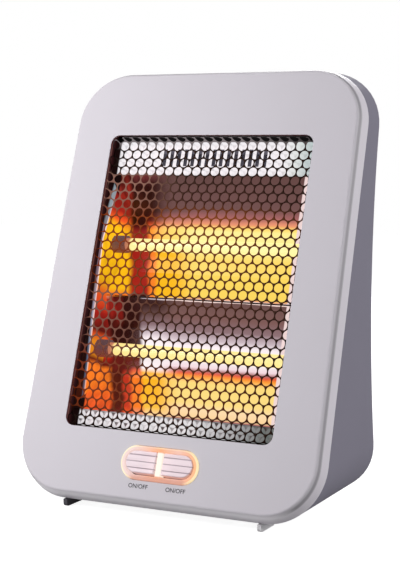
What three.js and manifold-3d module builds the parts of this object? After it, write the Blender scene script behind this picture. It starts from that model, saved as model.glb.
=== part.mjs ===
// Halogen heater: a bezel that leans back, a guard grille, two reflector troughs with a quartz
// tube in each, a lit switch with two rockers, a rear housing, two feet and a tip-over switch.
// Millimetres, +Z up, the front faces -Y. The panel's own frame has x to the right, y back from
// the face and z up along the face from the rim's lowest edge.
import * as THREE from 'three';
import { mergeVertices } from 'three/addons/utils/BufferGeometryUtils.js';
import Module from 'manifold-3d';

const wasm = await Module();
wasm.setup();

// ---- Driving dimensions ----------------------------------------------------------------------
const gap = 0.3;                 // clearance between pieces that touch
const leanAngle = THREE.MathUtils.degToRad(18.8);
const rimGround = 5.7;           // the bezel's lowest edge above the floor

const topBand = 53.4;            // from the opening up to the rim's upper edge
const rimTopWidth = 239;
const rimBottomWidth = 248;
const rimRadius = 43;
const bezelDepth = 11.6;
const bezelWall = 2.4;
const rimFlare = 3;              // how far the side wall spreads from the step to the rim
const stepInset = 4;             // the raised face's edge, measured in from the rim
const stepDepth = 3.5;
const edgeRound = 2.2;

const openingWidth = 168;
const openingRadius = 7;
const switchRoom = 9.6;          // from the switch up to the opening
const upperSight = 27.9;         // how much of each front strip shows in the opening
const lowerSight = 14.7;

const grilleSheet = 1;
const grilleArch = 4.9;          // how far the middle of the mesh stands forward of its ends
const grillePitch = 16.3;
const grilleHole = 14;           // across the flats of a hexagon
const grilleBorder = 3;
const grilleFlange = 5.5;
const sideHole = 12;
const sideHoleInset = 18;        // the first side hole's distance from the opening's corner

const stripHidden = 4.2;         // the part of each front strip behind the bezel
const slotCount = 15;
const slotPitch = 6;
const slotWidth = 3;
const slotHeight = 13.6;
const slotRise = 14.2;           // the slots' centre above the upper trough
const sheet = 0.8;
const troughHeight = 91.5;
const troughDepth = 31;
const troughBack = 41;           // height of the flat at the back of a trough
const dividerDepth = 33;         // where the two troughs meet
const troughBend = 3;            // the sloping corners between a trough's back and its sides
const reflectorReach = 2;        // how far the reflectors run past the opening at each end

const tubeDiameter = 10;
const tubeWall = 1;
const tubeShort = 2;             // how far a tube's ends stop short of the reflectors' ends
const tubeSpacing = 83.2;
const tubeDepth = 34.3;
const elementDiameter = 4.4;
const elementEnd = 8;            // the thin tail at each end of an element
const supportRings = 5;
const supportWidth = 1;
const capDiameter = 14;
const capNeck = 12;
const capLength = 17;
const capGrip = 9;               // how far a cap reaches over its tube
const capGroove = 1.2;
const leadHole = 3.2;
const clipThickness = 1.2;
const clipSize = 20;

const plateThickness = 1;
const plateFlange = 12;          // the end plates' flanges, screwed to the bezel's bosses
const plateEdge = 9;             // an end plate's depth at its top and bottom
const plateScrewInset = 24;
const plateScrewReach = 5;       // how far a plate screw bites into its boss
const bossDiameter = 6;
const shieldClearance = 2;       // from the troughs' backs to the heat shield
const shieldWing = 24;           // the height of the shield's sloping wings
const shieldEdge = 15;           // the wings' ends, behind the strips
const cutoutDiameter = 16;
const cutoutHeight = 6;
const cutoutFlange = 24;
const tagLength = 6;             // push-on tags of the cut-out and the switches
const tagWidth = 4.8;
const tagThickness = 0.8;

const switchWidth = 62;
const switchHeight = 24.4;
const switchBand = 3.4;
const switchBar = 4.3;
const switchCentre = 31.2;       // height of the switch's centre on the panel
const switchProud = 1.2;
const crownInset = 1;
const rockerTilt = THREE.MathUtils.degToRad(7);
const rockerGap = 0.75;
const rockerProud = 1.6;
const pivotDepth = 4.5;
const pinDiameter = 2.4;
const grooveCount = 3;
const groovePitch = 4.8;
const grooveWidth = 0.9;
const grooveDepth = 0.6;
const frameBack = 8;
const frameFlange = 3;
const frameFlangeThickness = 1.6;
const pinReach = 1.3;
const rockerBody = 2.5;          // how far a rocker reaches behind its pivot
const stemLength = 7.5;
const stemWidth = 7;
const stemThickness = 4;
const switchBodyWidth = 22;
const switchBodyHeight = 20;
const switchBodyDepth = 18.7;
const switchBodyWall = 2;
const lampDiameter = 3.6;
const lampLength = 11;
const lampDrop = 5.8;            // a lamp's distance below the switch's centre

const housingInset = 0.5;
const housingWall = 2.4;
const housingDraft = THREE.MathUtils.degToRad(0.6);
const backRound = 5;
const depthLow = 122.6;          // the back wall near the floor
const heightLow = 40;
const waistRoom = 24.2;          // from the heat shield back to the back wall's waist
const waistDrop = 4.9;           // the waist, below the troughs' divider on the panel
const highRoom = 24.7;           // from the upper strip back to the back wall
const highRise = 26.3;           // that place, above the upper strip's end
const gripWidth = 100;
const gripHeight = 22;
const gripDepth = 17;
const gripDrop = 48;             // from the housing's top down to the grip's centre
const ventWidth = 46;
const ventHeight = 4.4;
const ventPitch = 11;
const ventRows = 4;
const ventColumns = 3;
const ventSpacing = 54;          // between the columns
const upperVentRise = 59;        // the lowest slot of each group, above and below the waist
const lowerVentDrop = 75;

const footInset = 2.3;           // a foot, in from the end of the floor's flat part
const footWidth = 3;
const footFront = 8.7;
const footBack = 11.9;           // a foot's end, forward of the back wall
const footFlange = 12;
const footFlangeLip = 2.5;       // the flange's narrow outer side
const footFlangeThickness = 2;
const footShoulder = 6;          // the slot in the floor is shorter than the foot by this at each end
const footPad = 22;
const padStep = 1.2;
const footRound = 2.6;
const footScrewInset = 4;
const footScrewFromFront = 25.3;
const footScrewFromBack = 18.7;
const footScrewShank = 2.2;
const footScrewHead = 4.2;
const footScrewHeadHeight = 1.6;

const screwShank = 3;
const screwHead = 6.4;
const screwHeadHeight = 2.2;
const topScrewX = 88;
const topScrewSeat = 24;
const topBossDiameter = 8;
const postWall = 1.8;
const baseScrewInset = 20.7;     // a base screw, in from the foot beside it
const baseScrewY = 24;
const lugWidth = 11;
const lugBack = 31;
const lugBase = 9.5;
const lugTop = 20;

const bushInset = 16.7;          // the bush, in from the foot beside it
const bushZ = 34;
const bushBore = 7.2;
const bushBody = 13.6;
const bushLength = 9;
const bushFlange = 18;
const bushFlangeHeight = 2.2;
const bushSeat = 1;              // how deep the flange sits in the wall

const plungerY = 58;
const plungerDiameter = 6;
const plungerTravel = 4;
const plungerStem = 4;
const plungerRound = 0.8;
const collarDiameter = 10;
const collarThickness = 1.5;
const collarRoom = 1;            // between the floor and the collar at full travel
const springTurns = 4;
const springWire = 0.9;
const springDiameter = 6.8;
const springRoom = 13;           // between the collar's underside and the switch
const tipSwitchWidth = 28;
const tipSwitchDepth = 16;
const tipSwitchHeight = 16;
const tipSwitchLeg = 4;
const ribHeight = 8;
const ribThickness = 2;

const poleCount = 3;
const polePitch = 10;
const poleBore = 5;
const terminalInset = 26.7;      // the block's centre, in from the foot beside it
const terminalBack = 34.6;       // the block's centre, forward of the back wall
const terminalWidth = 32;
const terminalDepth = 16;
const terminalHeight = 12;
const wireDiameter = 2.4;
const wireBow = 9;               // how far the bridge wire stands out from the caps
const past = 400;                // longer than the heater, for cuts that go right through

// ---- Derived places --------------------------------------------------------------------------
const panelLift = rimGround + bezelDepth * Math.sin(leanAngle);
const lipFront = bezelDepth + gap;
const openingBase = switchCentre + switchHeight / 2 + switchRoom;
const dividerHeight = openingBase + lowerSight + troughHeight;
const openingTop = dividerHeight + troughHeight + upperSight;
const openingHeight = openingTop - openingBase;
const rimHeight = openingTop + topBand;
const stripDepth = bezelDepth + grilleSheet / 2 + 2 * gap;
const stripTop = openingTop + stripHidden;
const stripBase = openingBase - stripHidden;
const reflectorLength = openingWidth + 2 * reflectorReach;
const tubeLength = reflectorLength - 2 * tubeShort;
const tubeHeights = { upper: dividerHeight + tubeSpacing / 2, lower: dividerHeight - tubeSpacing / 2 };
const plateX = reflectorLength / 2 + gap;
const plateScrewX = plateX + plateFlange / 2 + plateThickness;
const plateScrewHeights = [stripBase + plateScrewInset, stripTop - plateScrewInset];
const shieldBack = stripDepth + troughDepth + shieldClearance;
const shieldBends = {
  upper: tubeHeights.upper + troughBack / 2 + shieldClearance,
  lower: tubeHeights.lower - troughBack / 2 - shieldClearance,
};
const topScrewZ = (stripTop + rimHeight) / 2;
const floorHeight = panelLift + housingInset * Math.cos(leanAngle) - lipFront * Math.sin(leanAngle);
const insideFloor = floorHeight + housingWall * Math.cos(leanAngle);
const footX = rimBottomWidth / 2 - rimRadius - footInset;
const baseScrewX = footX - baseScrewInset;
const bushX = footX - bushInset;
const terminalX = footX - terminalInset;
const footEnd = depthLow - footBack;
const footScrewPlaces = [footFront + footScrewFromFront, footEnd - footScrewFromBack];
const pilotBore = screwShank + 2 * gap;
const wellDiameter = screwHead + 2 * gap;
const postDiameter = wellDiameter + 2 * postWall;
const sides = { left: -1, right: 1 };

// ---- Materials -------------------------------------------------------------------------------
const finish = (color, roughness, metalness = 0) =>
  new THREE.MeshStandardMaterial({ color, roughness, metalness });
const bezelPlastic = finish(0xc9c5cb, 0.45);
const housingPlastic = finish(0x86828f, 0.5);
const footPlastic = finish(0xa9a8ab, 0.5);
const darkSteel = finish(0x2a2426, 0.4, 0.8);
const brightSteel = finish(0xe4e1dd, 0.15, 1);
const zincSteel = finish(0xb7babd, 0.4, 0.9);
const quartz = new THREE.MeshStandardMaterial({
  color: 0xfff2d8, roughness: 0.05, transparent: true, opacity: 0.4,
});
const glowingWire = new THREE.MeshStandardMaterial({
  color: 0xffc46a, roughness: 0.6, emissive: 0xffb347, emissiveIntensity: 2,
});
const ceramic = finish(0x6a5f66, 0.7);
const amberLens = new THREE.MeshStandardMaterial({
  color: 0xffcf9a, roughness: 0.3, emissive: 0xff9a4a, emissiveIntensity: 0.6,
});
const rockerPlastic = finish(0xe9d6dc, 0.35);
const blackPlastic = finish(0x232326, 0.55);
const lampGlass = new THREE.MeshStandardMaterial({
  color: 0xffa860, roughness: 0.1, emissive: 0xff7a30, emissiveIntensity: 1,
});
const rubber = finish(0x2c2c2e, 0.8);
const creamPlastic = finish(0xe6dfcf, 0.5);
const sleeve = finish(0xd9d2c0, 0.7);

// ---- Shape tools -----------------------------------------------------------------------------
// A closed geometry becomes a solid that can be joined and cut; its faces are turned outward.
function solidOf(geometry) {
  const bare = geometry.clone();
  bare.deleteAttribute('normal');
  bare.deleteAttribute('uv');
  const merged = mergeVertices(bare, 1e-4);
  const place = merged.attributes.position;
  const index = Uint32Array.from(merged.index.array);
  const [a, b, c] = [new THREE.Vector3(), new THREE.Vector3(), new THREE.Vector3()];
  let volume = 0;
  for (let i = 0; i < index.length; i += 3) {
    a.fromBufferAttribute(place, index[i]);
    b.fromBufferAttribute(place, index[i + 1]);
    c.fromBufferAttribute(place, index[i + 2]);
    volume += a.dot(b.cross(c));
  }
  if (volume < 0) index.reverse();
  const vertProperties = Float32Array.from(place.array);
  return new wasm.Manifold(new wasm.Mesh({ numProp: 3, vertProperties, triVerts: index }));
}

function geometryOf(solid) {
  const { vertProperties, triVerts } = solid.getMesh();
  const geometry = new THREE.BufferGeometry();
  geometry.setAttribute('position', new THREE.BufferAttribute(vertProperties, 3));
  geometry.setIndex(new THREE.BufferAttribute(triVerts, 1));
  const faceted = geometry.toNonIndexed();
  faceted.computeVertexNormals();
  return faceted;
}

const joined = (first, ...others) => others.reduce((sum, next) => sum.add(next), first);
const cut = (body, ...tools) => tools.reduce((rest, tool) => rest.subtract(tool), body);

function box(x0, x1, y0, y1, z0, z1) {
  const geometry = new THREE.BoxGeometry(x1 - x0, y1 - y0, z1 - z0);
  return solidOf(geometry.translate((x0 + x1) / 2, (y0 + y1) / 2, (z0 + z1) / 2));
}

// A round bar from start to end along one axis ('x', 'y' or 'z'), centred on the other two.
function bar(axis, start, end, first, second, diameter, steps = 16) {
  const geometry = new THREE.CylinderGeometry(diameter / 2, diameter / 2, end - start, steps);
  const middle = (start + end) / 2;
  if (axis === 'x') geometry.rotateZ(-Math.PI / 2).translate(middle, first, second);
  if (axis === 'y') geometry.translate(first, middle, second);
  if (axis === 'z') geometry.rotateX(Math.PI / 2).translate(first, second, middle);
  return solidOf(geometry);
}

// A turned piece: points of radius and distance along the axis, which then lies along x, y or z.
function turned(axis, points, steps = 16) {
  const geometry = new THREE.LatheGeometry(points.map(([r, d]) => new THREE.Vector2(r, d)), steps);
  if (axis === 'x') geometry.rotateZ(-Math.PI / 2);
  if (axis === 'z') geometry.rotateX(Math.PI / 2);
  return solidOf(geometry);
}

// A shape drawn across the face (x, z), with its thickness from yFront back to yBack.
function plate(shape, yFront, yBack, curveSegments = 6) {
  const depth = yBack - yFront;
  const geometry = new THREE.ExtrudeGeometry(shape, { depth, bevelEnabled: false, curveSegments });
  return solidOf(geometry.rotateX(Math.PI / 2).translate(0, yBack, 0));
}

// A side profile of depth and height (y, z), extruded from x0 to x1.
function profile(points, x0, x1) {
  const shape = new THREE.Shape(points.map(([y, z]) => new THREE.Vector2(y, z)));
  const geometry = new THREE.ExtrudeGeometry(shape, { depth: x1 - x0, bevelEnabled: false });
  const turn = new THREE.Matrix4().makeBasis(
    new THREE.Vector3(0, 1, 0), new THREE.Vector3(0, 0, 1), new THREE.Vector3(1, 0, 0));
  return solidOf(geometry.applyMatrix4(turn).translate(x0, 0, 0));
}

function roundedRectangle(width, height, radius, base, centre = 0) {
  const [x0, x1, z0, z1] = [centre - width / 2, centre + width / 2, base, base + height];
  const shape = new THREE.Shape();
  shape.moveTo(x0 + radius, z0);
  shape.lineTo(x1 - radius, z0).absarc(x1 - radius, z0 + radius, radius, -Math.PI / 2, 0);
  shape.lineTo(x1, z1 - radius).absarc(x1 - radius, z1 - radius, radius, 0, Math.PI / 2);
  shape.lineTo(x0 + radius, z1).absarc(x0 + radius, z1 - radius, radius, Math.PI / 2, Math.PI);
  shape.lineTo(x0, z0 + radius).absarc(x0 + radius, z0 + radius, radius, Math.PI, 1.5 * Math.PI);
  return shape;
}

function circle(radius, steps) {
  return new THREE.Shape(Array.from({ length: steps }, (_, i) => {
    const angle = (2 * Math.PI * i) / steps;
    return new THREE.Vector2(radius * Math.cos(angle), radius * Math.sin(angle));
  }));
}

// Bent sheet metal: the path of one side, thickened to its left by the mitre at each bend.
function bentSheet(path, thickness, x0, x1) {
  const points = path.map(([y, z]) => new THREE.Vector2(y, z));
  const normal = (from, to) => {
    const run = to.clone().sub(from).normalize();
    return new THREE.Vector2(-run.y, run.x);
  };
  const other = points.map((point, i) => {
    const before = i > 0 ? normal(points[i - 1], point) : normal(point, points[i + 1]);
    const after = i + 1 < points.length ? normal(point, points[i + 1]) : before;
    const mitre = before.clone().add(after).normalize();
    return point.clone().addScaledVector(mitre, thickness / mitre.dot(before));
  });
  return profile([...points, ...other.reverse()].map((p) => [p.x, p.y]), x0, x1);
}

// A closed body through rings. Each ring lists its right-hand points from bottom to top; the
// left-hand side mirrors them, and strips from left to right close the two ends.
function loft(rings) {
  const half = rings[0].length;
  const count = 2 * half;
  const places = [];
  for (const side of rings) {
    const mirrored = side.map((p) => new THREE.Vector3(-p.x, p.y, p.z)).reverse();
    for (const p of [...side, ...mirrored]) places.push(p.x, p.y, p.z);
  }
  const index = [];
  const quad = (a, b, c, d) => index.push(a, b, c, a, c, d);
  for (let ring = 0; ring + 1 < rings.length; ring++) {
    const [here, next] = [ring * count, (ring + 1) * count];
    for (let i = 0; i < count; i++) {
      const j = (i + 1) % count;
      quad(here + i, here + j, next + j, next + i);
    }
  }
  const last = (rings.length - 1) * count;
  for (let i = 0; i + 1 < half; i++) {
    quad(i, count - 1 - i, count - 2 - i, i + 1);
    quad(last + i, last + i + 1, last + count - 2 - i, last + count - 1 - i);
  }
  const geometry = new THREE.BufferGeometry();
  geometry.setAttribute('position', new THREE.Float32BufferAttribute(places, 3));
  geometry.setIndex(index);
  return solidOf(geometry);
}

// The bezel's outline, inset from its rim: right-hand points from the bottom to the top.
function outlineSide(inset, sideSteps = 1, cornerSteps = 7) {
  const radius = Math.max(rimRadius - inset, 1);
  const [low, high] = [inset + radius, rimHeight - inset - radius];
  const halfWidth = (z) =>
    THREE.MathUtils.lerp(rimBottomWidth, rimTopWidth, z / rimHeight) / 2 - inset;
  const arc = (centre, from) => Array.from({ length: cornerSteps + 1 }, (_, i) => {
    const angle = from + (Math.PI / 2) * (i / cornerSteps);
    const z = centre + radius * Math.sin(angle);
    return new THREE.Vector2(halfWidth(z) - radius + radius * Math.cos(angle), z);
  });
  const straight = Array.from({ length: sideSteps - 1 }, (_, i) => {
    const z = THREE.MathUtils.lerp(low, high, (i + 1) / sideSteps);
    return new THREE.Vector2(halfWidth(z), z);
  });
  return [...arc(low, -Math.PI / 2), ...straight, ...arc(high, 0)];
}

// The upright frame's place of a point given in the panel's frame, and the same for a solid.
function upright(x, y, z) {
  const [sin, cos] = [Math.sin(leanAngle), Math.cos(leanAngle)];
  return new THREE.Vector3(x, y * cos + z * sin, panelLift + z * cos - y * sin);
}
const panelMatrix = new THREE.Matrix4()
  .makeRotationX(-leanAngle).setPosition(0, 0, panelLift);
const toUpright = (solid) => solid.transform(panelMatrix.elements);
const toPanel = (solid) => solid.transform(panelMatrix.clone().invert().elements);

// ---- The two frames --------------------------------------------------------------------------
const heater = new THREE.Group();
const panel = new THREE.Group();
panel.rotation.x = -leanAngle;
panel.position.z = panelLift;
heater.add(panel);

function place(group, name, solid, material) {
  const piece = new THREE.Mesh(geometryOf(solid), material);
  piece.name = name;
  group.add(piece);
  return piece;
}

// ---- Back wall -------------------------------------------------------------------------------
// The back wall's depth at a height: it is nearest at its waist and leans back above and below.
const waist = upright(0, shieldBack + waistRoom, dividerHeight - waistDrop);
const high = upright(0, stripDepth + highRoom, stripTop + highRise);

function backDepth(z) {
  const [far, span] = z > waist.z
    ? [high.y, high.z - waist.z]
    : [depthLow, waist.z - heightLow];
  return waist.y + (far - waist.y) * ((z - waist.z) / span) ** 2;
}
const upperVentBase = waist.z + upperVentRise;
const lowerVentBase = waist.z - lowerVentDrop;
const gripCentre = upright(0, bezelDepth, rimHeight).z - gripDrop;

// ---- Front bezel -----------------------------------------------------------------------------
function bezelRing(inset, depth) {
  return outlineSide(inset).map((p) => new THREE.Vector3(p.x, depth, p.y));
}

function frontBezel() {
  const faceInset = stepInset + edgeRound;
  const shell = loft([
    bezelRing(faceInset, 0),
    bezelRing(stepInset + edgeRound * 0.3, edgeRound * 0.3),
    bezelRing(stepInset, edgeRound),
    bezelRing(rimFlare, stepDepth),
    bezelRing(0, bezelDepth),
    bezelRing(bezelWall, bezelDepth),
    bezelRing(rimFlare + bezelWall, stepDepth + bezelWall / 2),
    bezelRing(faceInset + bezelWall / 2, bezelWall),
  ]);
  const opening = roundedRectangle(openingWidth, openingHeight, openingRadius, openingBase);
  const window = roundedRectangle(switchWidth + 2 * gap, switchHeight + 2 * gap,
    switchHeight / 2 + gap - 0.01, switchCentre - switchHeight / 2 - gap);
  let body = cut(shell, plate(opening, -1, bezelWall + 1), plate(window, -1, bezelWall + 1, 4));
  const boss = (x, z, diameter, end) => {
    body = cut(joined(body, bar('y', bezelWall / 2, end, x, z, diameter, 8)),
      bar('y', bezelWall + 1, end + 1, x, z, pilotBore, 8));
  };
  for (const side of Object.values(sides)) {
    boss(side * topScrewX, topScrewZ, topBossDiameter, topScrewSeat - 2 * screwShank);
    for (const z of plateScrewHeights) boss(side * plateScrewX, z, bossDiameter, stripDepth - gap);
    const x = side * baseScrewX;
    const block = box(x - lugWidth / 2, x + lugWidth / 2, bezelWall / 2, lugBack, lugBase, lugTop);
    const bite = toPanel(bar('z', 0, lugTop - 1, x, baseScrewY, pilotBore, 8));
    const clear = toPanel(box(x - lugWidth, x + lugWidth, bezelDepth, past, 0, insideFloor + gap));
    body = cut(joined(body, block.subtract(clear)), bite);
  }
  return body;
}
place(panel, 'front_bezel', frontBezel(), bezelPlastic);

// ---- Guard grille ----------------------------------------------------------------------------
// A pan of perforated sheet: the mesh arches forward, the sides fold forward to the bezel's
// back and a flange turns outward behind it.
function guardGrille() {
  const [width, height] = [openingWidth - 2 * gap, openingHeight - 2 * gap];
  const base = openingBase + gap;
  const archSteps = 4;
  const archDepth = (z) => {
    const along = (2 * (z - base)) / height - 1;
    return bezelDepth - grilleSheet / 2 - grilleArch * (1 - along * along);
  };
  const front = Array.from({ length: archSteps + 1 }, (_, i) => {
    const z = base + (height * i) / archSteps;
    return [archDepth(z), z];
  });
  const back = front.map(([y, z]) => [y + grilleSheet, z]).reverse();
  const flangeFront = bezelWall + gap;
  const outer = roundedRectangle(width, height, openingRadius, base);
  const inner = roundedRectangle(width - 2 * grilleSheet, height - 2 * grilleSheet,
    openingRadius - grilleSheet, base + grilleSheet);
  const spread = roundedRectangle(width + 2 * grilleFlange, height + 2 * grilleFlange,
    openingRadius, base - grilleFlange);
  const outline = plate(outer, 0, past);
  const mesh = profile([...front, ...back], -width / 2, width / 2).intersect(outline);
  const wall = plate(outer, flangeFront, bezelDepth + grilleSheet / 2)
    .subtract(plate(inner, 0, past))
    .subtract(profile([...back, [past, base], [past, base + height]], -width, width));
  const flange = plate(spread, flangeFront, flangeFront + grilleSheet)
    .subtract(plate(inner, 0, past));
  const pan = joined(mesh, wall, flange);

  const rowPitch = (grillePitch * Math.sqrt(3)) / 2;
  const cell = grilleHole / Math.sqrt(3);
  const [spanX, spanZ] = [width / 2 - grilleBorder, height / 2 - grilleBorder];
  const rows = Math.floor((spanZ - cell) / rowPitch);
  const columns = Math.ceil(spanX / grillePitch);
  const holes = [];
  for (let row = -rows; row <= rows; row++) {
    const shift = row % 2 === 0 ? 0 : grillePitch / 2;
    for (let column = -columns; column <= columns; column++) {
      const x = column * grillePitch + shift;
      if (Math.abs(x) > spanX - grilleHole / 2) continue;
      const hexagon = new THREE.CylinderGeometry(cell, cell, 4 * grilleArch, 6);
      holes.push(solidOf(hexagon.translate(x, bezelDepth, base + height / 2 + row * rowPitch)));
    }
  }
  const sideRows = Math.floor((height / 2 - sideHoleInset) / (2 * rowPitch));
  for (let row = -sideRows; row <= sideRows; row++) {
    const z = base + height / 2 + 2 * row * rowPitch;
    const [y0, y1] = [flangeFront + 2 * grilleSheet, archDepth(z) - grilleSheet / 2];
    if (y1 - y0 < grilleSheet) continue;
    holes.push(box(-width, width, y0, y1, z - sideHole / 2, z + sideHole / 2));
  }
  return pan.subtract(wasm.Manifold.union(holes));
}
place(panel, 'guard_grille', guardGrille(), darkSteel);

// ---- Reflectors ------------------------------------------------------------------------------
// Both troughs start at the front strips, run back to a flat and come forward to the divider.
function reflector(direction) {
  const edge = dividerHeight + direction * troughHeight;
  const middle = dividerHeight + (direction * tubeSpacing) / 2;
  const back = stripDepth + troughDepth;
  const path = [
    [stripDepth, direction > 0 ? stripTop : stripBase],
    [stripDepth, edge],
    [back - troughBend, middle + direction * (troughBack / 2 + troughBend)],
    [back, middle + direction * (troughBack / 2 - 1)],
    [back, middle - direction * (troughBack / 2 - 1)],
    [back - troughBend, middle - direction * (troughBack / 2 + troughBend)],
    [dividerDepth, dividerHeight + direction * (sheet / 2 + gap / 2)],
  ];
  return bentSheet(direction > 0 ? path : path.reverse(), sheet,
    -reflectorLength / 2, reflectorLength / 2);
}

function upperReflector() {
  const middle = dividerHeight + troughHeight + slotRise;
  const slots = Array.from({ length: slotCount }, (_, i) => {
    const x = (i - (slotCount - 1) / 2) * slotPitch;
    return box(x - slotWidth / 2, x + slotWidth / 2, 0, stripDepth + slotWidth,
      middle - slotHeight / 2, middle + slotHeight / 2);
  });
  return cut(reflector(1), ...slots);
}
place(panel, 'upper_reflector', upperReflector(), brightSteel);
place(panel, 'lower_reflector', reflector(-1), brightSteel);

// ---- End plates, heat shield, cut-out --------------------------------------------------------
function endPlate(side) {
  const inner = Math.min(side * plateX, side * (plateX + plateThickness));
  const [edge, back] = [stripDepth + plateEdge, shieldBack + sheet];
  const body = profile([
    [stripDepth, stripBase], [stripDepth, stripTop], [edge, stripTop],
    [back, shieldBends.upper], [back, shieldBends.lower], [edge, stripBase],
  ], inner, inner + plateThickness);
  const far = side * (plateX + plateFlange);
  const flange = box(Math.min(inner, far), Math.max(inner + plateThickness, far),
    stripDepth, stripDepth + plateThickness, stripBase, stripTop);
  const holes = Object.values(tubeHeights).map((z) =>
    bar('x', inner - 1, inner + plateThickness + 1, tubeDepth, z, capNeck + 2 * gap, 14));
  const fixings = plateScrewHeights.map((z) =>
    bar('y', 0, stripDepth + plateThickness + 1, side * plateScrewX, z, pilotBore, 8));
  return cut(joined(body, flange), ...holes, ...fixings);
}

function heatShield() {
  const { upper, lower } = shieldBends;
  const path = [
    [stripDepth + shieldEdge, upper + shieldWing], [shieldBack, upper],
    [shieldBack, lower], [stripDepth + shieldEdge, lower - shieldWing],
  ];
  return bentSheet(path, sheet, -reflectorLength / 2, reflectorLength / 2);
}
for (const [name, side] of Object.entries(sides)) {
  place(panel, `${name}_end_plate`, endPlate(side), zincSteel);
}
place(panel, 'heat_shield', heatShield(), zincSteel);

function thermalCutout() {
  const face = shieldBack + sheet + gap;
  const lug = tagWidth / 2 + plateThickness;
  const tags = Object.values(sides).map((side) => {
    const x = side * cutoutDiameter / 4;
    return box(x - tagThickness / 2, x + tagThickness / 2, face + cutoutHeight - 1,
      face + cutoutHeight + tagLength, dividerHeight - tagWidth / 2, dividerHeight + tagWidth / 2);
  });
  return joined(bar('y', face, face + cutoutHeight, 0, dividerHeight, cutoutDiameter),
    box(-cutoutFlange / 2, cutoutFlange / 2, face, face + plateThickness,
      dividerHeight - lug, dividerHeight + lug), ...tags);
}
place(panel, 'thermal_cutout', thermalCutout(), blackPlastic);

// ---- Quartz tubes, elements, caps and clips --------------------------------------------------
const capInner = tubeLength / 2 - capGrip;
const clipFace = plateX + plateThickness + gap;

function quartzTube() {
  const [outer, inner, half] = [tubeDiameter / 2, tubeDiameter / 2 - tubeWall, tubeLength / 2];
  return turned('x', [[inner, -half], [outer, -half], [outer, half], [inner, half], [inner, -half]]);
}

// The element is a wound rod with a support ring every few windings.
function heatingElement() {
  const half = tubeLength / 2 - gap;
  const ring = tubeDiameter / 2 - tubeWall - gap;
  const rod = elementDiameter / 2;
  const wound = half - elementEnd;
  const [foot, crest] = [supportWidth / 2, supportWidth * 0.4];
  const points = [[0, -half], [rod / 2, -half], [rod / 2, -wound], [rod, -wound]];
  for (let i = 0; i < supportRings; i++) {
    const x = THREE.MathUtils.lerp(-wound + elementEnd, wound - elementEnd, i / (supportRings - 1));
    points.push([rod, x - foot], [ring, x - crest], [ring, x + crest], [rod, x + foot]);
  }
  points.push([rod, wound], [rod / 2, wound], [rod / 2, half], [0, half]);
  return turned('x', points, 6);
}

// A cap holds the tube's end in a socket; its neck goes through the end plate, and a groove
// outside the plate takes the clip. A small hole lets the lead out.
function ceramicCap(side) {
  const [body, neck, socket] = [capDiameter / 2, capNeck / 2, tubeDiameter / 2 + gap];
  const shoulder = plateX - gap;
  const end = capInner + capLength;
  const [groove, lead] = [neck - capGroove, leadHole / 2];
  const cap = turned('x', [
    [socket, capInner], [body, capInner], [body, shoulder], [neck, shoulder],
    [neck, clipFace - gap / 2], [groove, clipFace - gap / 2],
    [groove, clipFace + clipThickness + gap], [neck, clipFace + clipThickness + gap],
    [neck, end], [lead, end], [lead, tubeLength / 2 + gap], [socket, tubeLength / 2 + gap],
    [socket, capInner],
  ], 10);
  return side > 0 ? cap : cap.rotate([0, 0, 180]);
}

function tubeClip(side) {
  const start = side > 0 ? clipFace : -clipFace - clipThickness;
  const shape = new THREE.Shape();
  const [half, slot] = [clipSize / 2, capNeck / 2 - capGroove + gap];
  shape.moveTo(-half, -half).lineTo(-slot, -half).lineTo(-slot, 0);
  shape.absarc(0, 0, slot, Math.PI, 0, true);
  shape.lineTo(slot, -half).lineTo(half, -half).lineTo(half, half).lineTo(-half, half);
  const geometry = new THREE.ExtrudeGeometry(shape,
    { depth: clipThickness, bevelEnabled: false, curveSegments: 6 });
  return solidOf(geometry.rotateY(Math.PI / 2).rotateX(Math.PI).translate(start, 0, 0));
}

for (const [level, height] of Object.entries(tubeHeights)) {
  const seat = (piece) => piece.translate([0, tubeDepth, height]);
  place(panel, `${level}_quartz_tube`, seat(quartzTube()), quartz);
  place(panel, `${level}_heating_element`, seat(heatingElement()), glowingWire);
  for (const [name, side] of Object.entries(sides)) {
    place(panel, `${level}_${name}_ceramic_cap`, seat(ceramicCap(side)), ceramic);
    place(panel, `${level}_${name}_tube_clip`, seat(tubeClip(side)), brightSteel);
  }
}

// ---- Lit switch ------------------------------------------------------------------------------
// A rocker fills half of the stadium: a straight side at the bar and a round outer end.
function rockerOutline(side, clearance) {
  const radius = switchHeight / 2 - switchBand - clearance;
  const near = switchBar / 2 + clearance;
  const centre = switchWidth / 2 - switchHeight / 2;
  const shape = new THREE.Shape();
  shape.moveTo(near, -radius).lineTo(centre, -radius);
  shape.absarc(centre, 0, radius, -Math.PI / 2, Math.PI / 2);
  shape.lineTo(near, radius).lineTo(near, -radius);
  if (side > 0) return shape;
  const mirrored = shape.getPoints(6).map((p) => new THREE.Vector2(-p.x, p.y)).reverse();
  return new THREE.Shape(mirrored);
}

const rockerFar = switchWidth / 2 - switchBand - gap;
const rockerMiddle = (switchBar / 2 + rockerFar) / 2;

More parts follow.
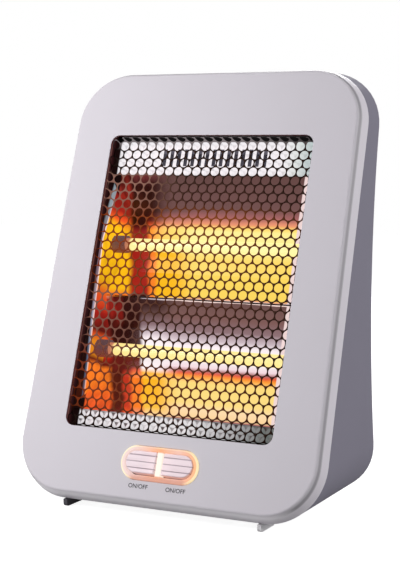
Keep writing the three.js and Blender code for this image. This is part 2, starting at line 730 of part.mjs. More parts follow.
function lightFrame() {
  const outer = roundedRectangle(switchWidth, switchHeight, switchHeight / 2 - 0.01,
    -switchHeight / 2);
  const crown = roundedRectangle(switchWidth - 2 * crownInset, switchHeight - 2 * crownInset,
    switchHeight / 2 - crownInset - 0.01, crownInset - switchHeight / 2);
  const flange = roundedRectangle(switchWidth + 2 * frameFlange, switchHeight + 2 * frameFlange,
    2 * frameFlange, -switchHeight / 2 - frameFlange);
  let body = joined(plate(outer, -switchProud / 2, frameBack, 4),
    plate(crown, -switchProud, crownInset, 4),
    plate(flange, bezelWall + gap, bezelWall + gap + frameFlangeThickness, 2));
  for (const side of Object.values(sides)) {
    const hole = plate(rockerOutline(side, 0), -2 * switchProud, frameBack + 1, 6);
    const reach = rockerFar + pinReach + 2 * gap;
    const pins = bar('x', -reach, reach, pivotDepth, 0, pinDiameter + 2 * gap, 8);
    body = cut(body, hole, pins);
  }
  return body.translate([0, 0, switchCentre]);
}

// The rocker leans by its tilt at rest, with its upper end pressed in.
function rocker(side) {
  const face = plate(rockerOutline(side, rockerGap), -rockerProud, pivotDepth + rockerBody, 6);
  const middle = side * rockerMiddle;
  const near = side * (switchBar / 2 + gap - pinReach);
  const far = side * (rockerFar + pinReach);
  const pins = bar('x', Math.min(near, far), Math.max(near, far), pivotDepth, 0, pinDiameter, 8);
  const stem = box(middle - stemWidth / 2, middle + stemWidth / 2, pivotDepth,
    pivotDepth + stemLength, -stemThickness / 2, stemThickness / 2);
  const grooves = Array.from({ length: grooveCount }, (_, i) => {
    const z = (i - (grooveCount - 1) / 2) * groovePitch;
    return box(-switchWidth, switchWidth, -rockerProud - 1, -rockerProud + grooveDepth,
      z - grooveWidth / 2, z + grooveWidth / 2);
  });
  return cut(joined(face, pins, stem), ...grooves)
    .translate([0, -pivotDepth, 0])
    .rotate([-THREE.MathUtils.radToDeg(rockerTilt), 0, 0])
    .translate([0, pivotDepth, switchCentre]);
}

const switchBodyFront = frameBack + gap;
const switchBodyBack = switchBodyFront + switchBodyDepth;

function switchBody(side) {
  const middle = side * rockerMiddle;
  const block = (inset, front, back) => box(
    middle - switchBodyWidth / 2 + inset, middle + switchBodyWidth / 2 - inset, front, back,
    switchCentre - switchBodyHeight / 2 + inset, switchCentre + switchBodyHeight / 2 - inset);
  const shell = block(0, switchBodyFront, switchBodyBack);
  const hollow = block(switchBodyWall, switchBodyFront - 1, switchBodyBack - 3 * switchBodyWall);
  const tags = [-1, 1].map((level) => {
    const z = switchCentre + (level * switchBodyHeight) / 4;
    return box(middle - tagWidth / 2, middle + tagWidth / 2, switchBodyBack - 1,
      switchBodyBack + tagLength, z - tagThickness / 2, z + tagThickness / 2);
  });
  return joined(cut(shell, hollow), ...tags);
}

function neonLamp(side) {
  const [radius, half] = [lampDiameter / 2, lampLength / 2];
  const bulb = turned('x', [
    [0, -half], [radius * 0.7, -half + radius * 0.3], [radius, -half + radius],
    [radius, half], [0, half],
  ], 10);
  return bulb.translate([side * rockerMiddle, switchBodyFront + half, switchCentre - lampDrop]);
}
place(panel, 'switch_light_frame', lightFrame(), amberLens);
for (const [name, side] of Object.entries(sides)) {
  place(panel, `${name}_rocker`, rocker(side), rockerPlastic);
  place(panel, `${name}_switch_body`, switchBody(side), blackPlastic);
  place(panel, `${name}_neon_lamp`, neonLamp(side), lampGlass);
}

// ---- Rear housing ----------------------------------------------------------------------------
// Each ring of the shell is the rim's outline carried straight back to the curved back wall.
function housingRing(inset, front, behind) {
  return outlineSide(inset, 6, 6).map((p) => {
    const start = upright(p.x, front, p.y);
    if (behind === undefined) return start;
    const y = backDepth(start.z) - behind;
    const draft = (y - start.y) * Math.tan(housingDraft);
    return new THREE.Vector3(start.x - draft, y, start.z);
  });
}

function housingVolume(inset, behind, round, forward = 0) {
  const front = lipFront;
  const first = housingRing(inset, front);
  const rings = [first];
  if (forward > 0) rings.unshift(first.map((p) => new THREE.Vector3(p.x, p.y - forward, p.z)));
  for (const angle of [0, 45, 90].map(THREE.MathUtils.degToRad)) {
    rings.push(housingRing(inset + round * (1 - Math.cos(angle)), front,
      behind + round * (1 - Math.sin(angle))));
  }
  return loft(rings);
}

function ventSlots(base) {
  const slots = [];
  for (let row = 0; row < ventRows; row++) {
    const z = base + row * ventPitch;
    for (let column = 0; column < ventColumns; column++) {
      const x = (column - (ventColumns - 1) / 2) * ventSpacing;
      slots.push(box(x - ventWidth / 2, x + ventWidth / 2, backDepth(z) - 3 * housingWall, past,
        z, z + ventHeight));
    }
  }
  return slots;
}

function rearHousing() {
  const outer = housingVolume(housingInset, 0, backRound);
  const inner = housingVolume(housingInset + housingWall, housingWall, backRound - housingWall,
    2 * housingWall);
  const additions = [];
  const cuts = [...ventSlots(upperVentBase), ...ventSlots(lowerVentBase)];
  const underFloor = insideFloor + housingWall;
  const gripBack = backDepth(gripCentre);
  const gripBox = (wall) => box(-gripWidth / 2 - wall, gripWidth / 2 + wall,
    gripBack - gripDepth - wall, past, gripCentre - gripHeight / 2 - wall,
    gripCentre + gripHeight / 2 + wall);
  additions.push(gripBox(housingWall));
  cuts.push(gripBox(0));
  for (const side of Object.values(sides)) {
    const x = side * topScrewX;
    const post = bar('y', topScrewSeat - screwShank, past, x, topScrewZ, postDiameter, 12);
    const well = bar('y', topScrewSeat, past, x, topScrewZ, wellDiameter, 12);
    const hole = bar('y', 0, topScrewSeat + 1, x, topScrewZ, pilotBore, 8);
    additions.push(toUpright(post));
    cuts.push(toUpright(joined(well, hole)));
    cuts.push(bar('z', 0, underFloor, side * baseScrewX, baseScrewY, pilotBore, 8));
    cuts.push(box(side * footX - footWidth / 2 - gap, side * footX + footWidth / 2 + gap,
      footFront + footShoulder - gap, footEnd - footShoulder + gap, 0, underFloor));
    for (const y of footScrewPlaces) {
      cuts.push(bar('z', 0, underFloor, side * (footX - footScrewInset), y,
        footScrewShank + 2 * gap, 8));
    }
    const ribX = side * (tipSwitchWidth / 2 + gap + ribThickness / 2);
    additions.push(box(ribX - ribThickness / 2, ribX + ribThickness / 2,
      plungerY - tipSwitchDepth / 2, plungerY + tipSwitchDepth / 2,
      floorHeight + 1, insideFloor + ribHeight));
  }
  const bushY = backDepth(bushZ);
  cuts.push(bar('y', bushY - bushLength - bushFlangeHeight, past, bushX, bushZ,
    bushBody + 2 * gap, 14));
  cuts.push(bar('y', bushY - bushSeat, past, bushX, bushZ, bushFlange + 2 * gap, 14));
  cuts.push(bar('z', 0, underFloor, 0, plungerY, plungerDiameter + 2 * gap, 12));
  const inside = joined(...additions).intersect(outer);
  return cut(joined(outer.subtract(inner), inside), ...cuts);
}
place(heater, 'rear_housing', rearHousing(), housingPlastic);

// ---- Cord inlet, terminal block --------------------------------------------------------------
function cordInletBush() {
  const seat = backDepth(bushZ) - bushSeat + gap;
  const [body, flange, bore] = [bushBody / 2, bushFlange / 2, bushBore / 2];
  const bush = turned('y', [
    [bore, -bushLength], [body, -bushLength], [body, 0], [flange, 0],
    [flange - bushFlangeHeight / 4, bushFlangeHeight], [bore, bushFlangeHeight],
    [bore, -bushLength],
  ], 14);
  return bush.translate([bushX, seat, bushZ]);
}
place(heater, 'cord_inlet_bush', cordInletBush(), rubber);

function terminalBlock() {
  const base = insideFloor + gap;
  const y = depthLow - terminalBack;
  const [halfWidth, halfDepth] = [terminalWidth / 2, terminalDepth / 2];
  const block = box(terminalX - halfWidth, terminalX + halfWidth, y - halfDepth, y + halfDepth,
    base, base + terminalHeight);
  const poles = Array.from({ length: poleCount }, (_, i) => {
    const x = terminalX + (i - (poleCount - 1) / 2) * polePitch;
    return joined(bar('y', y - terminalDepth, y + terminalDepth, x, base + poleBore, poleBore, 8),
      bar('z', base + terminalHeight / 2, base + 2 * terminalHeight, x, y, poleBore, 8));
  });
  return cut(block, ...poles);
}
place(heater, 'terminal_block', terminalBlock(), creamPlastic);

// ---- Feet ------------------------------------------------------------------------------------
// A thin fin with a round front corner; it drops through a slot in the housing's floor from a
// flange inside, and stands on a pad at each end.
function foot(side) {
  const x = side * footX;
  const [front, back] = [footFront, footEnd];
  const [neckFront, neckBack] = [front + footShoulder, back - footShoulder];
  const under = floorHeight - 2 * gap;
  const top = insideFloor + gap + footFlangeThickness;
  const corner = Array.from({ length: 6 }, (_, i) => {
    const angle = -Math.PI / 2 - (Math.PI / 2) * (i / 5);
    return [front + footRound * (1 + Math.cos(angle)), footRound * (1 + Math.sin(angle))];
  });
  const fin = profile([
    ...corner, [front, under], [neckFront, under], [neckFront, top], [neckBack, top],
    [neckBack, under], [back, under], [back, padStep], [back - padStep, 0], [back - footPad, 0],
    [back - footPad - padStep, padStep], [front + footPad + padStep, padStep],
    [front + footPad, 0],
  ], x - footWidth / 2, x + footWidth / 2);
  const outer = side * (footX + footFlangeLip);
  const inner = outer - side * footFlange;
  const flange = box(Math.min(inner, outer), Math.max(inner, outer),
    neckFront + footFlangeThickness, neckBack - footFlangeThickness, insideFloor + gap, top);
  const holes = footScrewPlaces.map((y) => bar('z', 0, top + 1,
    side * (footX - footScrewInset), y, footScrewShank + 2 * gap, 8));
  return cut(joined(fin, flange), ...holes);
}
for (const [name, side] of Object.entries(sides)) {
  place(heater, `${name}_foot`, foot(side), footPlastic);
  footScrewPlaces.forEach((y, i) => {
    const seat = insideFloor + footFlangeThickness + 2 * gap;
    const x = side * (footX - footScrewInset);
    const footScrew = joined(bar('z', floorHeight + gap, seat + 1, x, y, footScrewShank, 6),
      bar('z', seat, seat + footScrewHeadHeight, x, y, footScrewHead, 8));
    place(heater, `${name}_foot_screw_${i + 1}`, footScrew, zincSteel);
  });
}

// ---- Tip-over switch -------------------------------------------------------------------------
const collarBase = insideFloor + plungerTravel + collarRoom;
const tipSwitchBase = collarBase + springRoom;
const stemEntry = plungerTravel + 1;

function tipOverPlunger() {
  const [rod, collar, stem] = [plungerDiameter / 2, collarDiameter / 2, plungerStem / 2];
  const shoulder = collarBase + collarThickness;
  return turned('z', [
    [0, gap], [rod - plungerRound, gap], [rod, gap + plungerRound], [rod, collarBase],
    [collar, collarBase], [collar, shoulder], [stem, shoulder], [stem, tipSwitchBase + stemEntry],
    [0, tipSwitchBase + stemEntry],
  ], 12).translate([0, plungerY, 0]);
}

function tipOverSpring() {
  const wire = springWire / 2;
  const radius = springDiameter / 2;
  const base = collarBase + collarThickness + gap + wire;
  const rise = tipSwitchBase - gap - wire - base;
  const stepsPerTurn = 7;
  const steps = springTurns * stepsPerTurn;
  const points = Array.from({ length: steps + 1 }, (_, i) => {
    const angle = (2 * Math.PI * i) / stepsPerTurn;
    return new THREE.Vector3(radius * Math.cos(angle), plungerY + radius * Math.sin(angle),
      base + (rise * i) / steps);
  });
  const section = circle(wire, 5);
  return solidOf(new THREE.ExtrudeGeometry(section, {
    steps, extrudePath: new THREE.CatmullRomCurve3(points),
  }));
}

function tipOverSwitch() {
  const [halfWidth, halfDepth] = [tipSwitchWidth / 2, tipSwitchDepth / 2];
  const block = (x0, x1, z0, z1) => box(x0, x1, plungerY - halfDepth, plungerY + halfDepth, z0, z1);
  const body = block(-halfWidth, halfWidth, tipSwitchBase, tipSwitchBase + tipSwitchHeight);
  const bore = bar('z', tipSwitchBase - 1, tipSwitchBase + stemEntry + 2, 0, plungerY,
    plungerStem + 2 * gap, 12);
  const legs = [-halfWidth, halfWidth - tipSwitchLeg].map((x) =>
    block(x, x + tipSwitchLeg, insideFloor + gap, tipSwitchBase + 1));
  return cut(joined(body, ...legs), bore);
}
place(heater, 'tip_over_plunger', tipOverPlunger(), blackPlastic);
place(heater, 'tip_over_spring', tipOverSpring(), zincSteel);
place(heater, 'tip_over_switch', tipOverSwitch(), creamPlastic);

// ---- Housing and plate screws ----------------------------------------------------------------
function screw(axis, tip, seat, first, second) {
  const [shank, head] = seat > tip
    ? [[tip, seat + 1], [seat, seat + screwHeadHeight]]
    : [[seat - 1, tip], [seat - screwHeadHeight, seat]];
  return joined(bar(axis, ...shank, first, second, screwShank, 6),
    bar(axis, ...head, first, second, screwHead, 8));
}
for (const [name, side] of Object.entries(sides)) {
  place(panel, `top_${name}_screw`,
    screw('y', bezelWall + 2, topScrewSeat + gap, side * topScrewX, topScrewZ), zincSteel);
  place(heater, `base_${name}_screw`,
    screw('z', lugTop - 2, floorHeight - gap, side * baseScrewX, baseScrewY), zincSteel);
  plateScrewHeights.forEach((z, i) => {
    place(panel, `${name}_plate_screw_${i + 1}`, screw('y', stripDepth - plateScrewReach,
      stripDepth + plateThickness + gap, side * plateScrewX, z), zincSteel);
  });
}

// ---- Inner wire ------------------------------------------------------------------------------
// A sleeved lead that joins the two tubes; each end stops just short of its cap.
function bridgeWire() {
  const [end, level] = [capInner + capLength + gap, tubeHeights];
  const curve = new THREE.CatmullRomCurve3([
    [end, level.upper], [end + wireBow * 0.7, level.upper - wireBow / 2],
    [end + wireBow, dividerHeight], [end + wireBow * 0.7, level.lower + wireBow / 2],
    [end, level.lower],
  ].map(([x, z]) => new THREE.Vector3(x, tubeDepth, z)));
  return solidOf(new THREE.ExtrudeGeometry(circle(wireDiameter / 2, 6),
    { steps: 12, extrudePath: curve }));
}
place(panel, 'tube_bridge_wire', bridgeWire(), sleeve);

// ---- The finished model stands on the floor, centred on its origin ----------------------------
heater.updateMatrixWorld(true);
const extent = new THREE.Box3().setFromObject(heater, true);
heater.position.set(0, -(extent.min.y + extent.max.y) / 2, -extent.min.z);

export default heater;
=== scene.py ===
"""Halogen heater: the looks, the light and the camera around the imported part."""

import math

import bmesh
import bpy
from mathutils import Matrix, Vector


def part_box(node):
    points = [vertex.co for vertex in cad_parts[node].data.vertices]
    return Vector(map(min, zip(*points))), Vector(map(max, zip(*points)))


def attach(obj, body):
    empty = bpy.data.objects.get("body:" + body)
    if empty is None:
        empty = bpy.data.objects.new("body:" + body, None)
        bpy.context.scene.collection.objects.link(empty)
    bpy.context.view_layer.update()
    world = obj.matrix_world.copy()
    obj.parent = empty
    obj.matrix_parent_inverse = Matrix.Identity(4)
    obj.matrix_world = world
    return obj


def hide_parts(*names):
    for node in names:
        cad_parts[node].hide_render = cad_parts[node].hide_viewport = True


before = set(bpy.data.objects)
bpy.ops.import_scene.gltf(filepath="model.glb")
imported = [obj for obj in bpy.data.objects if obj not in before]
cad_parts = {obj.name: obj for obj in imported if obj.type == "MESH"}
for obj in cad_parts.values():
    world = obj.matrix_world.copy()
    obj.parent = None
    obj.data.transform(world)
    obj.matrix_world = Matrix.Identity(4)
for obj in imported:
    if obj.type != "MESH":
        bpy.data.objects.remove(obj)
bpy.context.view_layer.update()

# ---- Sizes of the part, in millimetres ----
MM = 0.001
LEAN = math.radians(18.8)
GAP = 0.3
RIM_HEIGHT, RIM_TOP, RIM_BOTTOM, RIM_RADIUS = 332, 239, 248, 43
BEZEL_DEPTH, BEZEL_WALL, RIM_FLARE = 11.6, 2.4, 3
STEP_INSET, STEP_DEPTH, EDGE_ROUND = 4, 3.5, 2.2
OPENING_WIDTH, OPENING_HEIGHT, OPENING_BASE, OPENING_RADIUS = 168, 225.6, 53, 7
OPENING_MIDDLE = OPENING_BASE + OPENING_HEIGHT / 2
STRIP_TOP = 282.8
UPPER_EDGE, LOWER_EDGE = 250.7, 67.3   # where the troughs meet their front strips
MESH_END, MESH_ARCH = BEZEL_DEPTH - 0.5, 4.9
MESH_BEND, MESH_SHEET = 5.0, 0.6
HOLE_PITCH, HOLE_RADIUS = 7.75, 3.45
TUBE_DEPTH, TUBE_HEIGHTS = 34.3, (200.8, 117.6)
TUBE_LENGTH, COIL_TAILS = 168, 18
COIL_RADIUS, COIL_WIRE, COIL_PITCH = 2.2, 0.35, 1.9
SWITCH_WIDTH, SWITCH_HEIGHT, SWITCH_BAND, SWITCH_BAR = 62, 24.4, 3.4, 4.3
SWITCH_CENTRE, SWITCH_PROUD, SWITCH_BACK = 31.2, 1.2, 8
SWITCH_RADIUS = SWITCH_HEIGHT / 2
ROCKER_TILT, ROCKER_GAP, ROCKER_PROUD = math.radians(7), 0.75, 1.6
PIVOT_DEPTH, ROCKER_BODY = 4.5, 2.5
GROOVES, GROOVE_PITCH = 3, 4.8
LABEL_HEIGHT, LABEL_CENTRES = 14.3, (-14.7, 15.5)
LABEL_SIZE, LABEL_BOLD, LABEL_PROUD = 4.35, 0.07, 0.03

# ---- Frames: the panel leans back from the floor ----
low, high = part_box("upper_quartz_tube")
lean_turn = Matrix.Rotation(-LEAN, 4, "X")
panel_origin = (low + high) / 2 - lean_turn @ (Vector((0, TUBE_DEPTH, TUBE_HEIGHTS[0])) * MM)
PANEL = Matrix.Translation(panel_origin) @ lean_turn
UPRIGHT = Matrix.Translation((0, panel_origin.y, 0))
PANEL_LIFT = panel_origin.z / MM


def place_object(name, data):
    thing = bpy.data.objects.new(name, data)
    bpy.context.scene.collection.objects.link(thing)
    return thing


# ---- Camera ----
def make_camera():
    data = bpy.data.cameras.new("camera")
    data.lens = 87.98
    data.sensor_width = 36
    camera = place_object("camera", data)
    camera.location = (0.47113, -0.92490, 0.26553)
    camera.rotation_euler = (math.radians(84.219), 0, math.radians(26.944))
    bpy.context.scene.camera = camera


make_camera()


# ---- Shaders ----
def srgb(*levels):
    """A shader's linear colour from display levels, 0 to 255: red, green and blue, or one grey."""
    def linear(level):
        level /= 255
        return level / 12.92 if level <= 0.04045 else ((level + 0.055) / 1.055) ** 2.4
    return tuple(linear(level) for level in (levels if len(levels) == 3 else levels * 3)) + (1.0,)


def dimmed(colour, share):
    return tuple(level * share for level in colour[:3]) + (1.0,)


class Nodes:
    """Short ways to add and join the nodes of a tree."""

    def __init__(self, tree, prefix="ShaderNode"):
        self.tree, self.prefix = tree, prefix

    def feed(self, node, socket, value):
        if isinstance(value, bpy.types.NodeSocket):
            self.tree.links.new(value, node.inputs[socket])
        else:
            node.inputs[socket].default_value = value

    def add(self, kind, inputs, **settings):
        node = self.tree.nodes.new(self.prefix + kind)
        for key, value in settings.items():
            setattr(node, key, value)
        for socket, value in inputs.items():
            self.feed(node, socket, value)
        return node

    def number(self, operation, *values):
        return self.add("Math", dict(enumerate(values)), operation=operation).outputs[0]

    def times(self, first, second):
        return self.number("MULTIPLY", first, second)


class Shader(Nodes):
    """A material, with short ways to make what its surface takes."""

    def __init__(self, name):
        self.material = bpy.data.materials.new(name)
        self.material.use_nodes = True
        super().__init__(self.material.node_tree)
        self.surface = self.tree.nodes["Principled BSDF"]

    def set(self, **inputs):
        for name, value in inputs.items():
            self.feed(self.surface, name.replace("_", " ").title().replace("Ior", "IOR"), value)

    def place(self, panel=False):
        """Object coordinates, turned into the panel's own frame if asked."""
        vector = self.add("TexCoord", {}).outputs["Object"]
        if not panel:
            return vector
        back = PANEL.inverted()
        return self.add("Mapping", {
            "Vector": vector, "Location": back.translation, "Rotation": (LEAN, 0, 0),
        }, vector_type="POINT").outputs["Vector"]

    def vector(self, operation, *values):
        """The vector of a sum, or the number where the operation gives one."""
        node = self.add("VectorMath", dict(enumerate(values)), operation=operation)
        return node.outputs["Value" if operation in ("DOT_PRODUCT", "LENGTH") else "Vector"]

    def grey(self, level):
        return self.add("CombineColor", {0: level, 1: level, 2: level}).outputs[0]

    def noise(self, vector, scale, detail=2.0, stretch=(1, 1, 1)):
        if stretch != (1, 1, 1):
            vector = self.add("Mapping", {"Vector": vector, "Scale": stretch}).outputs["Vector"]
        return self.add("TexNoise", {"Vector": vector, "Scale": scale, "Detail": detail}).outputs["Fac"]

    def spread(self, value, low, high, start=0.0, end=1.0, smooth=False):
        """low to high, as the value goes from start to end."""
        kind = "SMOOTHSTEP" if smooth else "LINEAR"
        return self.add("MapRange", {
            "Value": value, "From Min": start, "From Max": end, "To Min": low, "To Max": high,
        }, interpolation_type=kind).outputs["Result"]

    def along(self, length, low, high, start, end, smooth=False):
        """low to high, as the length goes from start to end in millimetres."""
        return self.spread(length, low, high, start * MM, end * MM, smooth)

    def ramp(self, length, stops):
        """stops: (millimetres, display colour), rising."""
        first, last = stops[0][0], stops[-1][0]
        node = self.add("ValToRGB", {"Fac": self.along(length, 0, 1, first, last)})
        elements = node.color_ramp.elements
        elements[0].position, elements[0].color = 0.0, srgb(*stops[0][1])
        elements[1].position, elements[1].color = 1.0, srgb(*stops[-1][1])
        for at, colour in stops[1:-1]:
            elements.new((at - first) / (last - first)).color = srgb(*colour)
        return node.outputs["Color"]

    def mix(self, factor, first, second, blend="MIX"):
        node = self.add("Mix", {0: factor, 6: first, 7: second}, data_type="RGBA", blend_type=blend)
        return node.outputs[2]

    def tinted(self, first, second):
        return self.mix(1.0, first, second, "MULTIPLY")

    def with_relief(self, height, strength, distance):
        """Adds fine relief and returns the finished material."""
        node = self.add("Bump", {"Height": height, "Strength": strength, "Distance": distance})
        self.feed(self.surface, "Normal", node.outputs["Normal"])
        return self.material


def on_panel(name):
    """A new shader, the place in the panel's frame and that place's x, y and z."""
    shader = Shader(name)
    place = shader.place(panel=True)
    return shader, place, *shader.add("SeparateXYZ", {"Vector": place}).outputs


def plastic(name, colour, roughness=0.45, grain=1400, depth=0.12, tint=0.04, specular=0.5):
    shader = Shader(name)
    place = shader.place()
    broad = shader.noise(place, 18, 3)
    fine = shader.noise(place, grain, 2)
    base = srgb(*colour)
    shader.set(base_color=shader.mix(broad, base, dimmed(base, 1 - tint)),
               roughness=shader.spread(fine, roughness - 0.05, roughness + 0.05),
               specular_ior_level=specular)
    return shader.with_relief(fine, depth, 0.00012)


def metal(name, colour, roughness=0.3, stretch=(1, 1, 1), scale=300, depth=0.1):
    shader = Shader(name)
    place = shader.place()
    lines = shader.noise(place, scale, 3, stretch)
    spots = shader.noise(place, 40, 2)
    base = srgb(*colour)
    shader.set(base_color=shader.mix(spots, base, dimmed(base, 0.86)), metallic=1.0,
               roughness=shader.spread(lines, roughness - 0.07, roughness + 0.1))
    return shader.with_relief(lines, depth, 0.00008)


def glowing(name, colour, strength, scale=600):
    shader = Shader(name)
    flicker = shader.noise(shader.place(), scale, 2)
    lit = srgb(*colour)
    shader.set(base_color=lit, roughness=0.4, emission_color=lit,
               emission_strength=shader.spread(flicker, strength * 0.92, strength * 1.08))
    return shader.material


# ---- Mesh tools ----
def make(name, points, faces, matrix=PANEL):
    """An object from points in millimetres, which the matrix places in the shared frame."""
    mesh = bpy.data.meshes.new(name)
    mesh.from_pydata([tuple(matrix @ (Vector(p) * MM)) for p in points], [], faces)
    mesh.validate()
    mesh.update()
    return place_object(name, mesh)


def bands(rings, count, start=0):
    """The faces between rings of count points each, the first of them at start."""
    return [(start + i * count + j, start + i * count + (j + 1) % count,
             start + (i + 1) * count + (j + 1) % count, start + (i + 1) * count + j)
            for i in range(rings - 1) for j in range(count)]


def loft(rings):
    """Points and faces of a closed body through rings of equal length."""
    count = len(rings[0])
    points = [p for ring in rings for p in ring]
    faces = bands(len(rings), count)
    last = (len(rings) - 1) * count
    faces.append(tuple(range(count - 1, -1, -1)))
    faces.append(tuple(range(last, last + count)))
    return points, faces


def prism(outline, front, back):
    """A flat outline of (x, z), carried from depth front to depth back."""
    return loft([[(x, front, z) for x, z in outline], [(x, back, z) for x, z in outline]])


def block(x0, x1, y0, y1, z0, z1):
    return prism([(x0, z0), (x1, z0), (x1, z1), (x0, z1)], y0, y1)


def rod(x, z, radius, y0, y1, steps=24):
    return prism(arc(x, z, radius, 0, 360, steps)[:-1], y0, y1)


def together(shapes):
    points, faces = [], []
    for more_points, more_faces in shapes:
        start = len(points)
        points += more_points
        faces += [tuple(start + i for i in face) for face in more_faces]
    return points, faces


def arc(x, z, radius, start, end, steps):
    return [(x + radius * math.cos(math.radians(start + (end - start) * i / steps)),
             z + radius * math.sin(math.radians(start + (end - start) * i / steps)))
            for i in range(steps + 1)]


def rounded(width, height, radius, base, steps=12):
    """A rectangle with round corners, in the middle from left to right."""
    side, low, high = width / 2 - radius, base + radius, base + height - radius
    return (arc(side, low, radius, -90, 0, steps) + arc(side, high, radius, 0, 90, steps)
            + arc(-side, high, radius, 90, 180, steps) + arc(-side, low, radius, 180, 270, steps))


def baked(thing):
    """The mesh of an object with its modifiers applied."""
    graph = bpy.context.evaluated_depsgraph_get()
    return bpy.data.meshes.new_from_object(thing.evaluated_get(graph))


def settle(thing):
    """Turns the modifiers of an object into its mesh."""
    mesh = baked(thing)
    thing.modifiers.clear()
    thing.data = mesh


def outward(thing):
    """Turns the faces of an object so that their normals look outward."""
    work = bmesh.new()
    work.from_mesh(thing.data)
    bmesh.ops.recalc_face_normals(work, faces=work.faces)
    work.to_mesh(thing.data)
    work.free()
    return thing


def cut(body, *cutters):
    for cutter in cutters:
        outward(cutter)
        modifier = body.modifiers.new("cut", "BOOLEAN")
        modifier.operation, modifier.solver, modifier.object = "DIFFERENCE", "EXACT", cutter
    settle(body)
    for cutter in cutters:
        bpy.data.objects.remove(cutter)


def soften(thing, width=0.0, segments=2, angle=32):
    """Rounds sharp edges a little and shades the rest smooth."""
    if width:
        modifier = thing.modifiers.new("edge", "BEVEL")
        modifier.width, modifier.segments = width * MM, segments
        modifier.limit_method, modifier.angle_limit = "ANGLE", math.radians(angle)
        settle(thing)
    thing.data.polygons.foreach_set("use_smooth", [True] * len(thing.data.polygons))
    thing.data.set_sharp_from_angle(angle=math.radians(angle))
    modifier = thing.modifiers.new("flats", "WEIGHTED_NORMAL")
    modifier.keep_sharp = True
    settle(thing)
    return thing


def dress(thing, material, body="root", stands_for=()):
    thing.data.materials.clear()
    thing.data.materials.append(material)
    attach(thing, body)
    if stands_for:
        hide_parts(*stands_for)


# ---- Bezel ----
def rim_outline(inset, corner=20, side=1):
    """The rim's outline, inset: once round, from the bottom on the right, with so many steps round
    a corner and up a side."""
    radius = max(RIM_RADIUS - inset, 1)
    bottom, top = inset + radius, RIM_HEIGHT - inset - radius

    def half(z):
        return (RIM_BOTTOM + (RIM_TOP - RIM_BOTTOM) * z / RIM_HEIGHT) / 2 - inset

    right = []
    for centre, start in ((bottom, -90), (top, 0)):
        for i in range(corner + 1):
            angle = math.radians(start + 90 * i / corner)
            z = centre + radius * math.sin(angle)
            right.append((half(z) - radius + radius * math.cos(angle), z))
        if centre == bottom:
            for i in range(1, side):
                z = bottom + (top - bottom) * i / side
                right.append((half(z), z))
    return right + [(-x, z) for x, z in reversed(right)]


def bezel():
    """The rim's outline, carried along a section of (inset, depth): over the face's round edge,
    down the step, out along the flare and back inside."""
    face = STEP_INSET + EDGE_ROUND
    section = arc(face, EDGE_ROUND, EDGE_ROUND, -90, -180, 6)
    section += [(RIM_FLARE + 0.2, STEP_DEPTH - 0.3), (RIM_FLARE - 0.3, STEP_DEPTH + 0.5),
                (1.7, 6.5), (0.7, 9.2), (0.1, BEZEL_DEPTH - 0.7), (0.3, BEZEL_DEPTH),
                (BEZEL_WALL, BEZEL_DEPTH), (RIM_FLARE + BEZEL_WALL, STEP_DEPTH + BEZEL_WALL / 2),
                (face + BEZEL_WALL / 2, BEZEL_WALL)]
    body = outward(make("bezel", *loft([[(x, depth, z) for x, z in rim_outline(inset)]
                                        for inset, depth in section])))
    through = (-2, BEZEL_WALL + 2)
    opening = make("opening", *prism(rounded(
        OPENING_WIDTH, OPENING_HEIGHT, OPENING_RADIUS, OPENING_BASE), *through))
    window = make("window", *prism(rounded(
        SWITCH_WIDTH + 2 * GAP, SWITCH_HEIGHT + 2 * GAP, SWITCH_RADIUS + GAP - 0.01,
        SWITCH_CENTRE - SWITCH_RADIUS - GAP, 16), *through))
    cut(body, opening, window)
    return soften(body, 0.35, 2, 40)


def bezel_material():
    """Pale plastic, with painted shade darker down the step round its face and painted shade reddened
    by the glow on the cut edge of its opening. A painted glow stands in for what the floor throws
    back onto its underside."""
    shader, place, x, y, z = on_panel("bezel_plastic")
    fine = shader.noise(place, 1400, 2)
    base = shader.mix(shader.noise(place, 18, 3), srgb(210, 205, 212), srgb(206, 201, 207))
    # Painted shade: darker down the step round the face.
    step = shader.ramp(y, [(0.1, (255,)), (1.2, (226,)), (2.4, (186,)), (3.4, (186,)), (4.6, (255,))])
    under = shader.along(z, 1, 0, 3, 14, smooth=True)
    base = shader.tinted(base, shader.mix(under, step, srgb(255)))
    # Painted light: a glow on the underside stands in for what the floor throws back.
    painted_bounce = shader.ramp(y, [(0.2, (0,)), (2, (120,)), (4, (116,)), (8, (0,))])
    painted_bounce = shader.tinted(painted_bounce, shader.grey(under))
    # Painted shade, reddened by the glow, on the cut edge of the opening.
    side, top = OPENING_WIDTH / 2, OPENING_BASE + OPENING_HEIGHT
    edge = shader.along(shader.number("ABSOLUTE", x), 1, 0, side + 0.2, side + 0.4)
    for limit in (shader.along(z, 0, 1, OPENING_BASE - 0.4, OPENING_BASE - 0.2),
                  shader.along(z, 1, 0, top + 0.2, top + 0.4),
                  shader.along(y, 0, 1, 0.2, 0.5)):
        edge = shader.times(edge, limit)
    shader.set(base_color=shader.mix(edge, base, srgb(96, 42, 48)),
               roughness=shader.spread(fine, 0.45, 0.55),
               emission_color=painted_bounce, emission_strength=0.62, specular_ior_level=0.3)
    return shader.with_relief(fine, 0.1, 0.00012)


dress(bezel(), bezel_material(), stands_for=["front_bezel"])


# ---- Guard grille ----
def mesh_depth(z):
    """The mesh's front surface: it arches forward in its middle."""
    along = 2 * (z - OPENING_MIDDLE) / (OPENING_HEIGHT - 2 * GAP)
    return MESH_END - MESH_ARCH * (1 - along * along)


